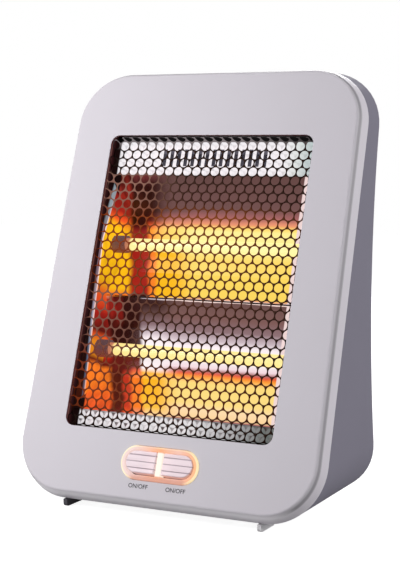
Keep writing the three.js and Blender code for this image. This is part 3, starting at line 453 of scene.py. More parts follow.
def grille():
    """Perforated sheet, drawn flat and then bent: each hole's cell wraps round the side bends."""
    flat_x = OPENING_WIDTH / 2 - GAP - MESH_SHEET - MESH_BEND
    flat_z = OPENING_HEIGHT / 2 - GAP - MESH_SHEET - MESH_BEND
    quarter = MESH_BEND * math.pi / 2
    side = 6                        # how far the sheet runs on past its bends
    corner = 3                      # no cell lies further than this past both bends
    side_front = BEZEL_WALL + 0.4   # the sides end here

    def bend(along, flat, depth):
        """The place across and the place back from the flat, for a length along the sheet."""
        past = abs(along) - flat
        if past <= 0:
            return along, depth
        turn = min(past / MESH_BEND, math.pi / 2)
        reach = MESH_BEND + depth
        across = math.copysign(flat + reach * math.sin(turn), along)
        return across, reach * math.cos(turn) - MESH_BEND - max(past - quarter, 0)

    def place(x, z, depth):
        across, back_x = bend(x, flat_x, depth)
        along, back_z = bend(z, flat_z, depth)
        y = mesh_depth(OPENING_MIDDLE + max(-flat_z, min(flat_z, z))) + min(back_x, back_z)
        return across, max(y, BEZEL_WALL - MESH_SHEET), OPENING_MIDDLE + along

    steps = 24
    # A cell's rings of (radius, depth): its hexagonal border, the hole's round edge, its wall
    # and the border again at the back.
    rings = [(None, 0.0), (HOLE_RADIUS + 0.3, 0.0), (HOLE_RADIUS + 0.06, 0.1), (HOLE_RADIUS, 0.35),
             (HOLE_RADIUS, MESH_SHEET), (None, MESH_SHEET)]
    points, faces = [], []
    row_pitch = HOLE_PITCH * math.sqrt(3) / 2
    rows = int((flat_z + quarter + side) / row_pitch)
    columns = int((flat_x + quarter + side) / HOLE_PITCH)
    for row in range(-rows, rows + 1):
        for column in range(-columns - 1, columns + 1):
            x = (column + (0.5 if row % 2 else 0)) * HOLE_PITCH
            z = row * row_pitch
            if min(abs(x) - flat_x, abs(z) - flat_z) > corner or place(x, z, 0)[1] < side_front:
                continue
            faces += bands(len(rings), steps, len(points))
            for radius, depth in rings:
                for i in range(steps):
                    angle = 2 * math.pi * i / steps
                    turn = (angle + math.pi / 6) % (math.pi / 3) - math.pi / 6
                    reach = radius or HOLE_PITCH / 2 / math.cos(turn)
                    points.append(place(x + reach * math.cos(angle), z + reach * math.sin(angle),
                                        depth))
    body = make("grille", points, faces)
    weld = body.modifiers.new("weld", "WELD")
    weld.merge_threshold = 0.05 * MM
    settle(body)
    return soften(outward(body), 0, angle=45)


def honeycomb(shader, place, shift):
    """Three waves that add up to 3 in the middle of each hole, -1 between two holes and -1.5
    between three, shifted by (x, z)."""
    scale = 2 * math.pi / (HOLE_PITCH * MM)
    waves = []
    for lean_x, lean_z in ((1, -1 / math.sqrt(3)), (0, 2 / math.sqrt(3)), (1, 1 / math.sqrt(3))):
        phase = (lean_x * shift[0] + lean_z * shift[1]) * MM * scale
        along = shader.vector("DOT_PRODUCT", place, (lean_x * scale, 0, lean_z * scale))
        waves.append(shader.number("COSINE", shader.number("SUBTRACT", along, phase)))
    return shader.number("ADD", shader.number("ADD", waves[0], waves[1]), waves[2])


def grille_material():
    """Dark steel with a painted warm sheen along the middle of its webs: pale on the left where the
    sheet behind is dark, and brown over the bright parts."""
    shader, place, x, y, z = on_panel("grille_steel")
    # Colours of the painted sheen by height, warm on the left and cool to the right.
    black, dim_sheen, steel = (10, 6, 5), (16, 12, 12), (128, 120, 122)
    brown_sheen, orange_sheen = (86, 34, 6), (122, 46, 4)
    warm = shader.ramp(z, [
        (64, black), (72, (112, 44, 16)), (106, (112, 46, 26)), (122, (112, 72, 62)),
        (156, (120, 80, 68)), (162, orange_sheen), (216, orange_sheen), (228, (130, 90, 78)),
        (248, (140, 102, 90)), (253, black), (270, dim_sheen), (276, steel)])
    cool = shader.ramp(z, [
        (64, black), (72, brown_sheen), (100, brown_sheen), (108, (34, 12, 8)), (126, (30, 10, 8)),
        (140, (40, 14, 9)), (160, (70, 28, 6)), (216, (122, 58, 8)), (228, (44, 14, 9)),
        (253, black), (270, dim_sheen), (276, steel)])
    sheen = shader.mix(shader.along(x, 0, 1, -62, -20, smooth=True), warm, cool)
    core = shader.spread(honeycomb(shader, place, (0, OPENING_MIDDLE)), 1.0, 0.3, -0.96, -0.66)
    core = shader.times(core, shader.along(x, 1, 0.3, 25, 70))
    grain = shader.noise(place, 500, 3)
    shader.set(base_color=srgb(26, 17, 13), metallic=1.0, specular_tint=(0.3, 0.18, 0.12, 1),
               roughness=shader.spread(grain, 0.28, 0.44), emission_color=sheen,
               emission_strength=shader.times(core, shader.spread(grain, 0.8, 1.1)))
    return shader.with_relief(grain, 0.05, 0.00008)


dress(grille(), grille_material(), stands_for=["guard_grille"])


# ---- Reflectors ----
# Painted light: the tubes' glow on the reflectors and its reflections, with painted shade in their dark
# parts.
BLACK, MAROON, BRICK, RED = (22, 9, 9), (48, 14, 10), (100, 28, 22), (166, 34, 26)
EMBER, ORANGE, AMBER, GOLD = (232, 84, 36), (252, 126, 38), (254, 155, 32), (255, 190, 24)
YELLOW, STRAW, CREAM = (255, 218, 96), (255, 240, 146), (255, 214, 158)
SALMON, ROSE, MAUVE, UMBER = (240, 152, 116), (168, 100, 100), (112, 78, 76), (98, 69, 66)
LILAC, ASH, SNOW, WHITE = (140, 112, 118), (196, 180, 188), (251, 240, 243), (246, 242, 246)
PEARL = (255, 226, 218)


def painted(name, zones, lean=(0, 0, 0), over=None, inward=0, streaks=(60, 0.4, 130, 0.4),
            axis=None):
    """Sheet steel with the tubes' glow and its reflections painted on its front. zones: (start, end,
    stops by height on the panel), each mixed in over the last between two places across; lean: how
    the places shift with depth and height, and their origin; over: what paints the rest; inward: the
    side, 1 or -1, to which an end plate's glowing face looks; streaks: how strong the painted dark
    streaks in the reflection at the left are from one height to another; axis: the depth and height
    of the tube that lights a trough."""
    shader, place, x, y, z = on_panel(name)
    with_depth, with_height, origin = lean
    across = shader.vector("DOT_PRODUCT", place, (1, with_depth, with_height))
    wander = shader.spread(shader.noise(place, 55, 2), -3.2 * MM, 3.2 * MM)
    across = shader.number("ADD", across, wander)
    waver = shader.spread(shader.noise(place, 80, 2), -0.9 * MM, 0.9 * MM)
    height = shader.number("ADD", z, waver)
    colour = shader.ramp(height, zones[0][2])
    for start, end, stops in zones[1:]:
        zone = shader.along(across, 0, 1, start + origin, end + origin, smooth=True)
        colour = shader.mix(zone, colour, shader.ramp(height, stops))
    low, weak, high, strong = streaks
    fade = shader.times(shader.along(across, 0.8, 0, origin - 84, origin - 44),
                        shader.along(z, weak, strong, low, high))
    # Painted dark streaks in the reflection.
    streak = shader.spread(shader.noise(place, 170, 2, (1, 0.3, 0.22)), 0.25, 1.5, 0.36, 0.64)
    colour = shader.mix(fade, colour, shader.tinted(colour, shader.grey(streak)))
    if over:
        colour = over(shader, place, x, y, z, colour)
    normal = shader.add("NewGeometry", {}).outputs["Normal"]
    front = shader.vector("DOT_PRODUCT", normal, (inward, -math.cos(LEAN), math.sin(LEAN)))
    front = shader.spread(front, 0, 1, 0.05, 0.15)
    if axis:
        # The painted glow lies on a strip's front side only, and on a trough where it faces its tube.
        front = shader.times(front, shader.along(y, 1, 0, 13.6, 14.2))
        centre = PANEL @ (Vector((0, *axis)) * MM)
        inside = shader.vector("SUBTRACT", tuple(centre), shader.place())
        inside = shader.vector("DOT_PRODUCT", shader.vector("MULTIPLY", inside, (0, 1, 1)), normal)
        front = shader.number("MAXIMUM", front, shader.along(inside, 0, 1, 0, 1))
    lines = shader.spread(shader.noise(place, 90, 3, (1, 1, 6)), 0.92, 1.02)
    ripples = shader.noise(place, 22, 2)
    shader.set(base_color=shader.mix(front, srgb(150, 150, 152), srgb(40, 32, 32)), metallic=1.0,
               roughness=shader.spread(ripples, 0.2, 0.35), emission_color=colour,
               emission_strength=shader.times(lines, front))
    return shader.with_relief(ripples, 0.3, 0.0006)


def trough_ends(edge, upward, strip_stops, height_stops, shift, shade):
    """The flat front strip past the edge, with painted light on it; the pale rim on the right, a
    painted reflection; and painted shade at the left corner. shift and shade: where the grille's
    painted shadow falls on the strip, and how dark it is."""
    def over(shader, place, x, y, z, colour):
        # A painted reflection: the pale rim on the right.
        rim = shader.vector("DOT_PRODUCT", place, (1, 0.455, 0))
        rim = shader.along(rim, 0, 1, 81.4, 82.0, smooth=True)
        colour = shader.mix(rim, colour, srgb(240, 216, 214))
        # Painted shade at the left corner.
        corner = shader.vector("DOT_PRODUCT", place, (1, 0.6, 0))
        corner = shader.along(corner, 1, 0, -70.5, -69.5)
        colour = shader.mix(corner, colour, srgb(*BLACK))
        # The grille's painted shadow on the strip.
        holes = shader.spread(honeycomb(shader, place, shift), 0, 1, -1.25, -0.78, smooth=True)
        uneven = shader.spread(shader.noise(place, 140, 1), 0.25, 1.0, 0.38, 0.58)
        shadow = shader.times(shader.spread(holes, shade, 0), uneven)
        strip = shader.mix(shadow, shader.ramp(x, strip_stops), srgb(*BLACK))
        strip = shader.tinted(strip, shader.ramp(z, height_stops))
        past = shader.along(z, 0, 1, edge, edge + (0.3 if upward else -0.3))
        return shader.mix(past, colour, strip)
    return over


def upper_side(hot):
    """The upper trough's painted glow beside its dark column, a painted reflection."""
    return [(158, SALMON), (160.5, hot), (206, hot), (215, AMBER), (219, EMBER), (222.5, BRICK),
            (229, MAROON), (246, MAROON), (250.5, (98, 50, 50))]


# Painted glow and reflections on the troughs by height, in zones from left to right; the dark columns
# are painted reflections of dark parts.
upper_left = [
    (158, EMBER), (161, ORANGE), (166, GOLD), (212, GOLD), (217, AMBER), (221.5, EMBER),
    (226, (150, 36, 26)), (243, (140, 36, 26)), (247, BRICK), (250.5, BRICK)]
upper_column = [
    (158, MAROON), (160.5, MAROON), (163, RED), (206, RED), (214, (146, 36, 32)), (219.5, MAROON),
    (244, MAROON), (250.5, (108, 46, 46))]
upper_gold = [
    (159.9, PEARL), (160.2, GOLD), (195, GOLD), (208, YELLOW), (217, YELLOW), (221, SALMON),
    (225, ROSE), (229, MAUVE), (250.5, UMBER)]
upper_main = [
    (159.9, PEARL), (160.2, SALMON), (162, YELLOW), (192, YELLOW), (200, STRAW), (215.5, STRAW),
    (218.5, YELLOW), (221.5, SALMON), (225.5, ROSE), (231, MAUVE), (250.5, UMBER)]
lower_left = [
    (68, EMBER), (80, (240, 98, 38)), (92, ORANGE), (103, ORANGE), (106, BRICK), (111, RED),
    (116, EMBER), (119, AMBER), (122, AMBER), (125, EMBER), (129, BRICK), (140, (86, 26, 20)),
    (146, (138, 34, 26)), (156, (146, 38, 28)), (159, SALMON)]
lower_column = [
    (68, BRICK), (73, (82, 28, 18)), (101, (82, 28, 18)), (104, BRICK), (112, BRICK), (124, MAROON),
    (134, MAROON), (140, BRICK), (148, RED), (159, BRICK)]
lower_beside = [
    (68, EMBER), (73, (198, 56, 34)), (101, (198, 56, 34)), (105, BRICK), (113, BRICK), (122, MAROON),
    (159, MAROON)]
lower_orange = [
    (68, SALMON), (73, ORANGE), (101, ORANGE), (104, EMBER), (107, BRICK), (113, BRICK),
    (122, MAROON), (159, MAROON)]
lower_gold = [
    (68, CREAM), (74, (255, 196, 70)), (84, (255, 184, 34)), (103, (255, 184, 34)), (106.5, SNOW),
    (129, SNOW), (134, ASH), (140, LILAC), (147, UMBER), (154, MAROON), (157.8, MAROON), (158.2, ASH)]
lower_main = [
    (67.5, ROSE), (69, CREAM), (75, (255, 222, 176)), (81, (255, 222, 134)), (98, (255, 222, 126)),
    (103, AMBER), (105.5, EMBER), (107.5, ROSE), (110, (244, 218, 224)), (114, SNOW), (126, SNOW),
    (131, ASH), (138, LILAC), (146, (124, 88, 84)), (157.9, (104, 74, 70)), (158.2, PEARL)]
# Painted light on the front strips: black in painted shade at the left, dimmer to the right and towards
# their upper and lower edges, with the grille's painted shadow faint on the upper strip and dark on the
# lower.
upper_strip = trough_ends(
    UPPER_EDGE, True,
    [(-82.4, BLACK), (-81.6, WHITE), (56, WHITE), (66, (228, 232, 230)), (76, (192, 204, 204))],
    [(250, (225,)), (253, (255,)), (277, (255,)), (277.6, (20,))], (0, 9.6), 0.25)
lower_strip = trough_ends(
    LOWER_EDGE, False,
    [(-81, BLACK), (-80.2, WHITE), (10, (244, 242, 244)), (45, (188, 188, 190)),
     (72, (112, 118, 116))],
    [(48, (120,)), (54, (205,)), (58, (235,)), (65.5, (235,)), (67, (150,))], (-1, 9.5), 0.95)
upper_glow = painted("upper_glow", [
    (0, 0, upper_left), (-84, -78, upper_column), (-67, -62, upper_side(ORANGE)),
    (-60, -55, upper_side(GOLD)), (-64, -43, upper_gold), (-45, -22, upper_main)],
    (0.54, 0.162, 59.48), upper_strip, streaks=(214, 0.1, 226, 1),
    axis=(TUBE_DEPTH, TUBE_HEIGHTS[0]))
lower_glow = painted("lower_glow", [
    (0, 0, lower_left), (-85, -80, lower_column), (-74, -70, lower_beside),
    (-67, -62, lower_orange), (-57.5, -53.5, lower_gold), (-44, -22, lower_main)],
    (0.55, 0.183, 47.9), lower_strip, streaks=(118, 0.3, 134, 1),
    axis=(TUBE_DEPTH, TUBE_HEIGHTS[1]))


def plate_ends(shader, place, x, y, z, colour):
    """A silvery band along the plate's front, a painted reflection with a painted highlight line, and
    painted shade on its dark front flange and at its top and bottom ends.
    """
    low = shader.spread(z, 0, 16.6 * MM, 0, 200 * MM)
    high = shader.spread(z, 0, 9 * MM, 200 * MM, 245 * MM)
    depth = shader.number("SUBTRACT", shader.number("ADD", y, low), high)
    # Painted reflection: the silvery band.
    band = shader.ramp(z, [
        (70, (74, 86, 108)), (112, (88, 104, 128)), (136, (172, 168, 188)), (180, (120, 96, 110)),
        (206, (120, 104, 116)), (228, (142, 158, 166)), (246, (140, 152, 160))])
    start = shader.ramp(z, [(130, (128,)), (235, (0,))])
    past = shader.number("SUBTRACT", depth, shader.times(start, 10 * MM))
    band = shader.mix(shader.along(past, 0, 1, 25, 27), srgb(*BLACK), band)
    # A painted highlight line along the band.
    line = shader.ramp(z, [
        (75, (240, 170, 140)), (110, (250, 205, 190)), (210, (250, 225, 225)), (235, (150, 152, 156))])
    band = shader.mix(shader.along(depth, 0, 1, 30.2, 30.8), band, line)
    colour = shader.mix(shader.along(depth, 1, 0, 31.6, 32.3), colour, band)
    # Painted shade above and below the troughs.
    ends = shader.ramp(z, [(67, (0,)), (76, (255,)), (246, (255,)), (250, (0,))])
    colour = shader.mix(ends, srgb(*BLACK), colour)
    # Painted shade on the front flange.
    away = shader.number("ABSOLUTE", x)
    flange = shader.ramp(away, [(86.9, (30, 11, 12)), (89.4, (50, 22, 24)), (91, (132, 88, 82))])
    return shader.mix(shader.along(away, 0, 1, 86.7, 86.85), colour, flange)


# Painted glow on the end plates, by height.
plate_stops = [
    (60, ORANGE), (104, ORANGE), (108, BRICK), (113, AMBER), (121, AMBER), (127, EMBER),
    (131, BRICK), (145, RED), (157, EMBER), (163, ORANGE), (170, GOLD), (214, GOLD),
    (221, EMBER), (228, RED), (246, BRICK)]
left_plate_glow = painted("left_plate_glow", [(0, 0, plate_stops)], over=plate_ends, inward=1)
right_plate_glow = painted("right_plate_glow", [(0, 0, plate_stops)], over=plate_ends, inward=-1)


# ---- Tubes, elements and caps ----
def tube_material():
    """Satin quartz: lit along its heated length, clear at its ends, and warmer in the lower tube."""
    shader, place, x, y, z = on_panel("lit_quartz")
    heat = shader.along(shader.number("ABSOLUTE", x), 1, 0, 70, 73, smooth=True)
    frost = shader.noise(place, 260, 2)
    colour = shader.mix(shader.along(z, 0, 1, 158, 162),
                        shader.mix(frost, srgb(255, 236, 160), srgb(255, 222, 132)),
                        shader.mix(frost, srgb(255, 244, 172), srgb(255, 234, 144)))
    shader.set(base_color=srgb(110, 100, 80), roughness=0.12,
               emission_color=shader.mix(heat, srgb(*SALMON), colour),
               emission_strength=shader.spread(heat, 0.55, 1.0),
               alpha=shader.spread(heat, 0.75, 0.95))
    return shader.material


def cap_material():
    """Ceramic with painted light: cool above, and reddened from below by the painted glow."""
    shader, place, x, y, z = on_panel("ceramic")
    # Painted light round each tube: reddened below, cool above.
    upper, lower = (
        shader.ramp(z, [(height - 7, (118, 46, 36)), (height - 1, (92, 52, 54)),
                        (height + 3, above), (height + 8, top)])
        for height, above, top in zip(TUBE_HEIGHTS, ((78, 62, 74), (80, 58, 62)),
                                      ((90, 78, 92), (88, 68, 74))))
    middle = sum(TUBE_HEIGHTS) / 2
    glow = shader.mix(shader.along(z, 0, 1, middle - 1, middle + 1), lower, upper)
    grain = shader.noise(place, 700, 2)
    shader.set(base_color=srgb(112, 98, 106), roughness=0.75, emission_color=glow,
               emission_strength=shader.spread(grain, 0.6, 0.8))
    return shader.with_relief(grain, 0.25, 0.00012)


def coil(height):
    """The element's winding: one wire wound round the tube's axis."""
    length = TUBE_LENGTH - COIL_TAILS
    per_turn, sides = 12, 5
    count = int(length / COIL_PITCH * per_turn)
    points = []
    for i in range(count + 1):
        angle = 2 * math.pi * i / per_turn
        out = Vector((0, math.cos(angle), math.sin(angle)))
        centre = Vector((-length / 2 + length * i / count, TUBE_DEPTH, height)) + out * COIL_RADIUS
        for j in range(sides):
            turn = 2 * math.pi * j / sides
            points.append(centre + (out * math.cos(turn) + Vector((math.sin(turn), 0, 0)))
                          * COIL_WIRE)
    return points, bands(count + 1, sides)


coil_wire = glowing("coil_wire", (255, 236, 150), 1.3)
for level, height in zip(("upper", "lower"), TUBE_HEIGHTS):
    winding = outward(make(f"{level}_coil", *coil(height)))
    dress(winding, coil_wire, stands_for=[f"{level}_heating_element"])


# ---- Switch ----
def rocker_outline(side, clearance, steps=20):
    """One half of the frame's opening beside the bar, made smaller by the clearance."""
    radius = SWITCH_RADIUS - SWITCH_BAND - clearance
    near = SWITCH_BAR / 2 + clearance
    centre = SWITCH_WIDTH / 2 - SWITCH_RADIUS
    right = [(near, -radius)] + arc(centre, 0, radius, -90, 90, steps) + [(near, radius)]
    return right if side > 0 else [(-x, z) for x, z in reversed(right)]


def light_frame():
    outer = rounded(SWITCH_WIDTH, SWITCH_HEIGHT, SWITCH_RADIUS - 0.01,
                    SWITCH_CENTRE - SWITCH_RADIUS, 20)
    body = outward(make("light_frame", *prism(outer, -SWITCH_PROUD, SWITCH_BACK)))
    holes = []
    for side in (-1, 1):
        outline = [(x, z + SWITCH_CENTRE) for x, z in rocker_outline(side, 0)]
        holes.append(make("hole", *prism(outline, -5, SWITCH_BACK + 1)))
    cut(body, *holes)
    return soften(body, 1.1, 4, 60)


def light_material():
    """Amber lens: creamy along its outer edge at both ends, salmon above, browner below in a painted
    shade and brightest in the bar between the rockers. Only its front glows."""
    shader, place, x, y, z = on_panel("amber_light")
    away = shader.number("ABSOLUTE", x)
    past = shader.number("SUBTRACT", away, (SWITCH_WIDTH / 2 - SWITCH_RADIUS) * MM)
    past = shader.number("MAXIMUM", past, 0.0)
    rise = shader.number("SUBTRACT", z, SWITCH_CENTRE * MM)
    out = shader.vector("LENGTH", shader.add("CombineXYZ", {0: past, 2: rise}).outputs[0])
    inner = shader.ramp(x, [
        (-31, (238, 214, 208)), (-22, (234, 206, 200)), (-14, (234, 190, 172)),
        (-7, (240, 176, 140)), (0, (244, 160, 100)), (6, (240, 176, 140)), (14, (236, 186, 168)),
        (22, (242, 176, 140)), (27, (246, 178, 126)), (31, (248, 184, 124))])
    outer = shader.ramp(x, [
        (-31, (255, 244, 204)), (-22, (255, 240, 200)), (-15, (240, 206, 182)),
        (-6, (238, 190, 160)), (0, (255, 206, 150)), (6, (242, 198, 168)), (18, (244, 206, 172)),
        (26, (255, 232, 178)), (31, (255, 236, 184))])
    edge = shader.along(out, 0, 1, SWITCH_RADIUS - 1.5, SWITCH_RADIUS - 0.7, smooth=True)
    colour = shader.mix(edge, inner, outer)
    # Painted shade along the lower band.
    below = shader.times(
        shader.along(rise, 0.85, 0, 1 - SWITCH_RADIUS, 5 - SWITCH_RADIUS, smooth=True),
        shader.along(away, 1, 0.2, 19, 25, smooth=True))
    colour = shader.mix(below, colour, srgb(206, 138, 118))
    bar_end = SWITCH_RADIUS - SWITCH_BAND
    bar = shader.times(
        shader.along(away, 1, 0, 2.1, 2.5),
        shader.along(shader.number("ABSOLUTE", rise), 1, 0, bar_end - 0.8, bar_end + 0.2))
    colour = shader.mix(bar, colour, srgb(255, 250, 235))
    ripple = shader.noise(place, 160, 2)
    strength = shader.times(shader.spread(ripple, 0.84, 0.98), shader.along(y, 1, 0, 4.5, 6))
    shader.set(base_color=srgb(84, 56, 48), roughness=0.25, emission_color=colour,
               emission_strength=strength)
    return shader.with_relief(ripple, 0.08, 0.0002)


def rocker(name, side):
    """A cap with soft edges and grooves across it, tilted about its pivot to where it rests."""
    level = Matrix.Identity(4)
    front = -ROCKER_PROUD
    body = outward(make(name, *prism(rocker_outline(side, ROCKER_GAP), front,
                                     PIVOT_DEPTH + ROCKER_BODY), matrix=level))
    soften(body, 0.7, 4, 60)
    grooves = []
    for i in range(GROOVES):
        z = (i - (GROOVES - 1) / 2) * GROOVE_PITCH
        section = [(-0.55, -0.9), (0.55, -0.9), (0.3, 0.45), (-0.3, 0.45)]
        rings = [[(x, front + depth, z + across) for across, depth in section] for x in (-40, 40)]
        grooves.append(make("groove", *loft(rings), matrix=level))
    cut(body, *grooves)
    pivot = Vector((0, PIVOT_DEPTH, 0)) * MM
    tilt = (Matrix.Translation(pivot) @ Matrix.Rotation(-ROCKER_TILT, 4, "X")
            @ Matrix.Translation(-pivot))
    body.data.transform(PANEL @ Matrix.Translation((0, 0, SWITCH_CENTRE * MM)) @ tilt)
    return soften(body, 0, angle=30)


def rocker_material():
    """Pale plastic, with painted shade in the grooves and a painted glow from the lit bar beside it."""
    shader, place, x, y, z = on_panel("rocker_plastic")
    grain = shader.noise(place, 1200, 2)
    rise = (PIVOT_DEPTH + ROCKER_PROUD) * math.sin(ROCKER_TILT)
    pitch = GROOVE_PITCH * math.cos(ROCKER_TILT) * MM
    first = (SWITCH_CENTRE + rise) * MM - 5.5 * pitch
    steps = shader.times(shader.number("SUBTRACT", z, first), 1 / pitch)
    part = shader.number("SUBTRACT", shader.number("FRACT", steps), 0.5)
    groove = shader.spread(shader.number("ABSOLUTE", part), 1, 0, 0.05, 0.105)
    # Painted shade in the grooves.
    shade = shader.mix(groove, srgb(222, 204, 211), srgb(172, 154, 164))
    away = shader.number("ABSOLUTE", x)
    # A painted glow from the lit bar, weaker in the grooves.
    painted_bar_glow = shader.times(shader.along(away, 0.14, 0.07, 4, 14, smooth=True),
                          shader.spread(groove, 1, 0.3))
    shader.set(base_color=shade, roughness=0.38, emission_color=srgb(255, 205, 195),
               emission_strength=painted_bar_glow)
    return shader.with_relief(grain, 0.06, 0.0001)


dress(light_frame(), light_material(), stands_for=["switch_light_frame"])
rocker_plastic = rocker_material()
for name, side in (("left", -1), ("right", 1)):
    dress(rocker(f"{name}_rocker_cap", side), rocker_plastic, body=f"{name}_rocker",
          stands_for=[f"{name}_rocker"])


def label(name, x):
    """A printed ON/OFF mark on the face, a hair proud of it."""
    curve = bpy.data.curves.new(name, "FONT")
    curve.body = "ON/OFF"
    curve.align_x, curve.align_y = "CENTER", "CENTER"
    curve.size, curve.offset, curve.extrude = LABEL_SIZE * MM, LABEL_BOLD * MM, 0.02 * MM
    text = place_object(name, curve)
    mesh = baked(text)
    mesh.transform(PANEL @ Matrix.Translation(Vector((x, -LABEL_PROUD, LABEL_HEIGHT)) * MM)
                   @ Matrix.Rotation(math.radians(90), 4, "X"))
    bpy.data.objects.remove(text)
    return place_object(name, mesh)


print_ink = plastic("print_ink", (38, 33, 40), 0.6, tint=0.1)
for name, x in zip(("left_label", "right_label"), LABEL_CENTRES):
    dress(label(name, x), print_ink)


# ---- Rear housing ----
def upright(y, z):
    """The depth and height off the floor of a place on the panel."""
    return (y * math.cos(LEAN) + z * math.sin(LEAN),
            PANEL_LIFT + z * math.cos(LEAN) - y * math.sin(LEAN))


HOUSING_INSET, HOUSING_WALL, HOUSING_DRAFT, BACK_ROUND = 0.5, 2.4, math.radians(0.6), 5
LIP_FRONT = BEZEL_DEPTH + GAP
LOW, WAIST, HIGH = (122.6, 40), upright(69.9, 154.3), upright(37.4, 309.1)   # depth and height
GRIP_WIDTH, GRIP_HEIGHT, GRIP_DEPTH = 100, 22, 17
GRIP_CENTRE = upright(BEZEL_DEPTH, RIM_HEIGHT)[1] - 48
VENT_WIDTH, VENT_HEIGHT, VENT_SPACING, VENT_PITCH = 46, 4.4, 54, 11
VENT_ROWS, VENT_COLUMNS = 4, 3
VENT_BASES = (WAIST[1] + 59, WAIST[1] - 75)
TOP_SCREW_X, TOP_SCREW_Z, TOP_SCREW_SEAT = 88, (STRIP_TOP + RIM_HEIGHT) / 2, 24
WELL_RADIUS, POST_RADIUS, POST_FLOOR = 3.5, 5.3, 3
HOUSING_PAST = 140                     # a depth on the panel that is well behind the housing
BUSH_X, BUSH_Z, BUSH_RADIUS, BUSH_FLANGE, BUSH_SEAT = 62, 34, 7.1, 9.3, 1


def back_depth(z):
    """The back wall is nearest at its waist and leans back above and below."""
    far, span = (HIGH[0], HIGH[1] - WAIST[1]) if z > WAIST[1] else (LOW[0], WAIST[1] - LOW[1])
    return WAIST[0] + (far - WAIST[0]) * ((z - WAIST[1]) / span) ** 2


def housing_ring(inset, behind=None):
    """The rim's outline at the lip or, where behind is given, so far in front of the back wall."""
    ring = []
    for x, z in rim_outline(inset, 12, 16):
        y, z = upright(LIP_FRONT, z)
        if behind is not None:
            depth = back_depth(z) - behind
            x -= math.copysign((depth - y) * math.tan(HOUSING_DRAFT), x)
            y = depth
        ring.append((x, y, z))
    return ring


def housing_volume(name, inset, behind, radius, forward=0.0):
    """A closed body from the lip to the back wall, or to so far in front of it, with its back edge
    rounded and its front carried forward."""
    rings = [housing_ring(inset)]
    if forward:
        rings.insert(0, [(x, y - forward, z) for x, y, z in rings[0]])
    for across, back in arc(radius, radius, radius, 180, 270, 6):
        rings.append(housing_ring(inset + across, behind + back))
    points, faces = loft(rings)
    # The two end caps are strips from left to right, so that the curved back wall stays smooth.
    half = len(rings[0]) // 2
    last = (len(rings) - 1) * 2 * half
    faces = faces[:-2]
    for i in range(half - 1):
        faces.append((i, 2 * half - 1 - i, 2 * half - 2 - i, i + 1))
        faces.append((last + i, last + i + 1, last + 2 * half - 2 - i, last + 2 * half - 1 - i))
    return outward(make(name, points, faces, matrix=UPRIGHT))


def smooth_back(thing):
    """Gives the curved back wall its true normals, whatever openings cut its faces up."""
    mesh = thing.data
    back = UPRIGHT.inverted()
    normals = [corner.vector.copy() for corner in mesh.corner_normals]
    places = [(back @ vertex.co) / MM for vertex in mesh.vertices]
    on_wall = [abs(place.y - back_depth(place.z)) < 0.1 for place in places]
    for face in mesh.polygons:
        whole = all(on_wall[vertex] for vertex in face.vertices)
        for loop, vertex in zip(face.loop_indices, face.vertices):
            z = places[vertex].z
            true = Vector((0, 1, back_depth(z - 0.5) - back_depth(z + 0.5))).normalized()
            if whole or on_wall[vertex] and face.normal.dot(true) > 0.95:
                normals[loop] = true
    mesh.normals_split_custom_set(normals)
    return thing


def screw_rods(name, radius, front):
    """A rod at each of the two top screws, from a depth to behind the housing."""
    return make(name, *together([rod(side * TOP_SCREW_X, TOP_SCREW_Z, radius, front, HOUSING_PAST)
                                 for side in (-1, 1)]))


def rear_housing():
    """A shell with a grip recess, posts and wells for the top screws, vents and the bush's seat."""
    outer = housing_volume("rear_shell", HOUSING_INSET, 0, BACK_ROUND)
    inner = housing_volume("inner", HOUSING_INSET + HOUSING_WALL, HOUSING_WALL,
                           BACK_ROUND - HOUSING_WALL, forward=5)
    side, front = GRIP_WIDTH / 2, back_depth(GRIP_CENTRE) - GRIP_DEPTH
    low, high = GRIP_CENTRE - GRIP_HEIGHT / 2, GRIP_CENTRE + GRIP_HEIGHT / 2
    wall = HOUSING_WALL
    far = 60                  # from the recess's floor to well behind the housing
    pocket = make("pocket", *block(-side - wall, side + wall, front - wall, front + far,
                                   low - wall, high + wall), matrix=UPRIGHT)
    cut(inner, pocket, screw_rods("posts", POST_RADIUS, TOP_SCREW_SEAT - POST_FLOOR))
    slots = []
    inside, outside = 8, 12   # how far a vent's cutter runs on each side of the back wall
    for base in VENT_BASES:
        for row in range(VENT_ROWS):
            z = base + row * VENT_PITCH
            y = back_depth(z)
            for column in range(VENT_COLUMNS):
                x = (column - (VENT_COLUMNS - 1) / 2) * VENT_SPACING
                slots.append(block(x - VENT_WIDTH / 2, x + VENT_WIDTH / 2, y - inside, y + outside,
                                   z, z + VENT_HEIGHT))
    vents = make("vents", *together(slots), matrix=UPRIGHT)
    hand = make("hand", *block(-side, side, front, front + far, low, high), matrix=UPRIGHT)
    seat = back_depth(BUSH_Z) - BUSH_SEAT
    bush = make("bush_hole", *together([rod(BUSH_X, BUSH_Z, BUSH_RADIUS, seat - 13, seat + 0.5),
                                        rod(BUSH_X, BUSH_Z, BUSH_FLANGE, seat, seat + 11)]),
                matrix=UPRIGHT)
    cut(outer, inner)
    cut(outer, hand, screw_rods("wells", WELL_RADIUS, TOP_SCREW_SEAT), vents, bush)
    return smooth_back(soften(outer, 0.5, 2, 50))


housing_plastic = plastic("housing_plastic", (128, 125, 137), 0.8, depth=0.14, tint=0.05,
                          specular=0.05)
dress(rear_housing(), housing_plastic, stands_for=["rear_housing"])


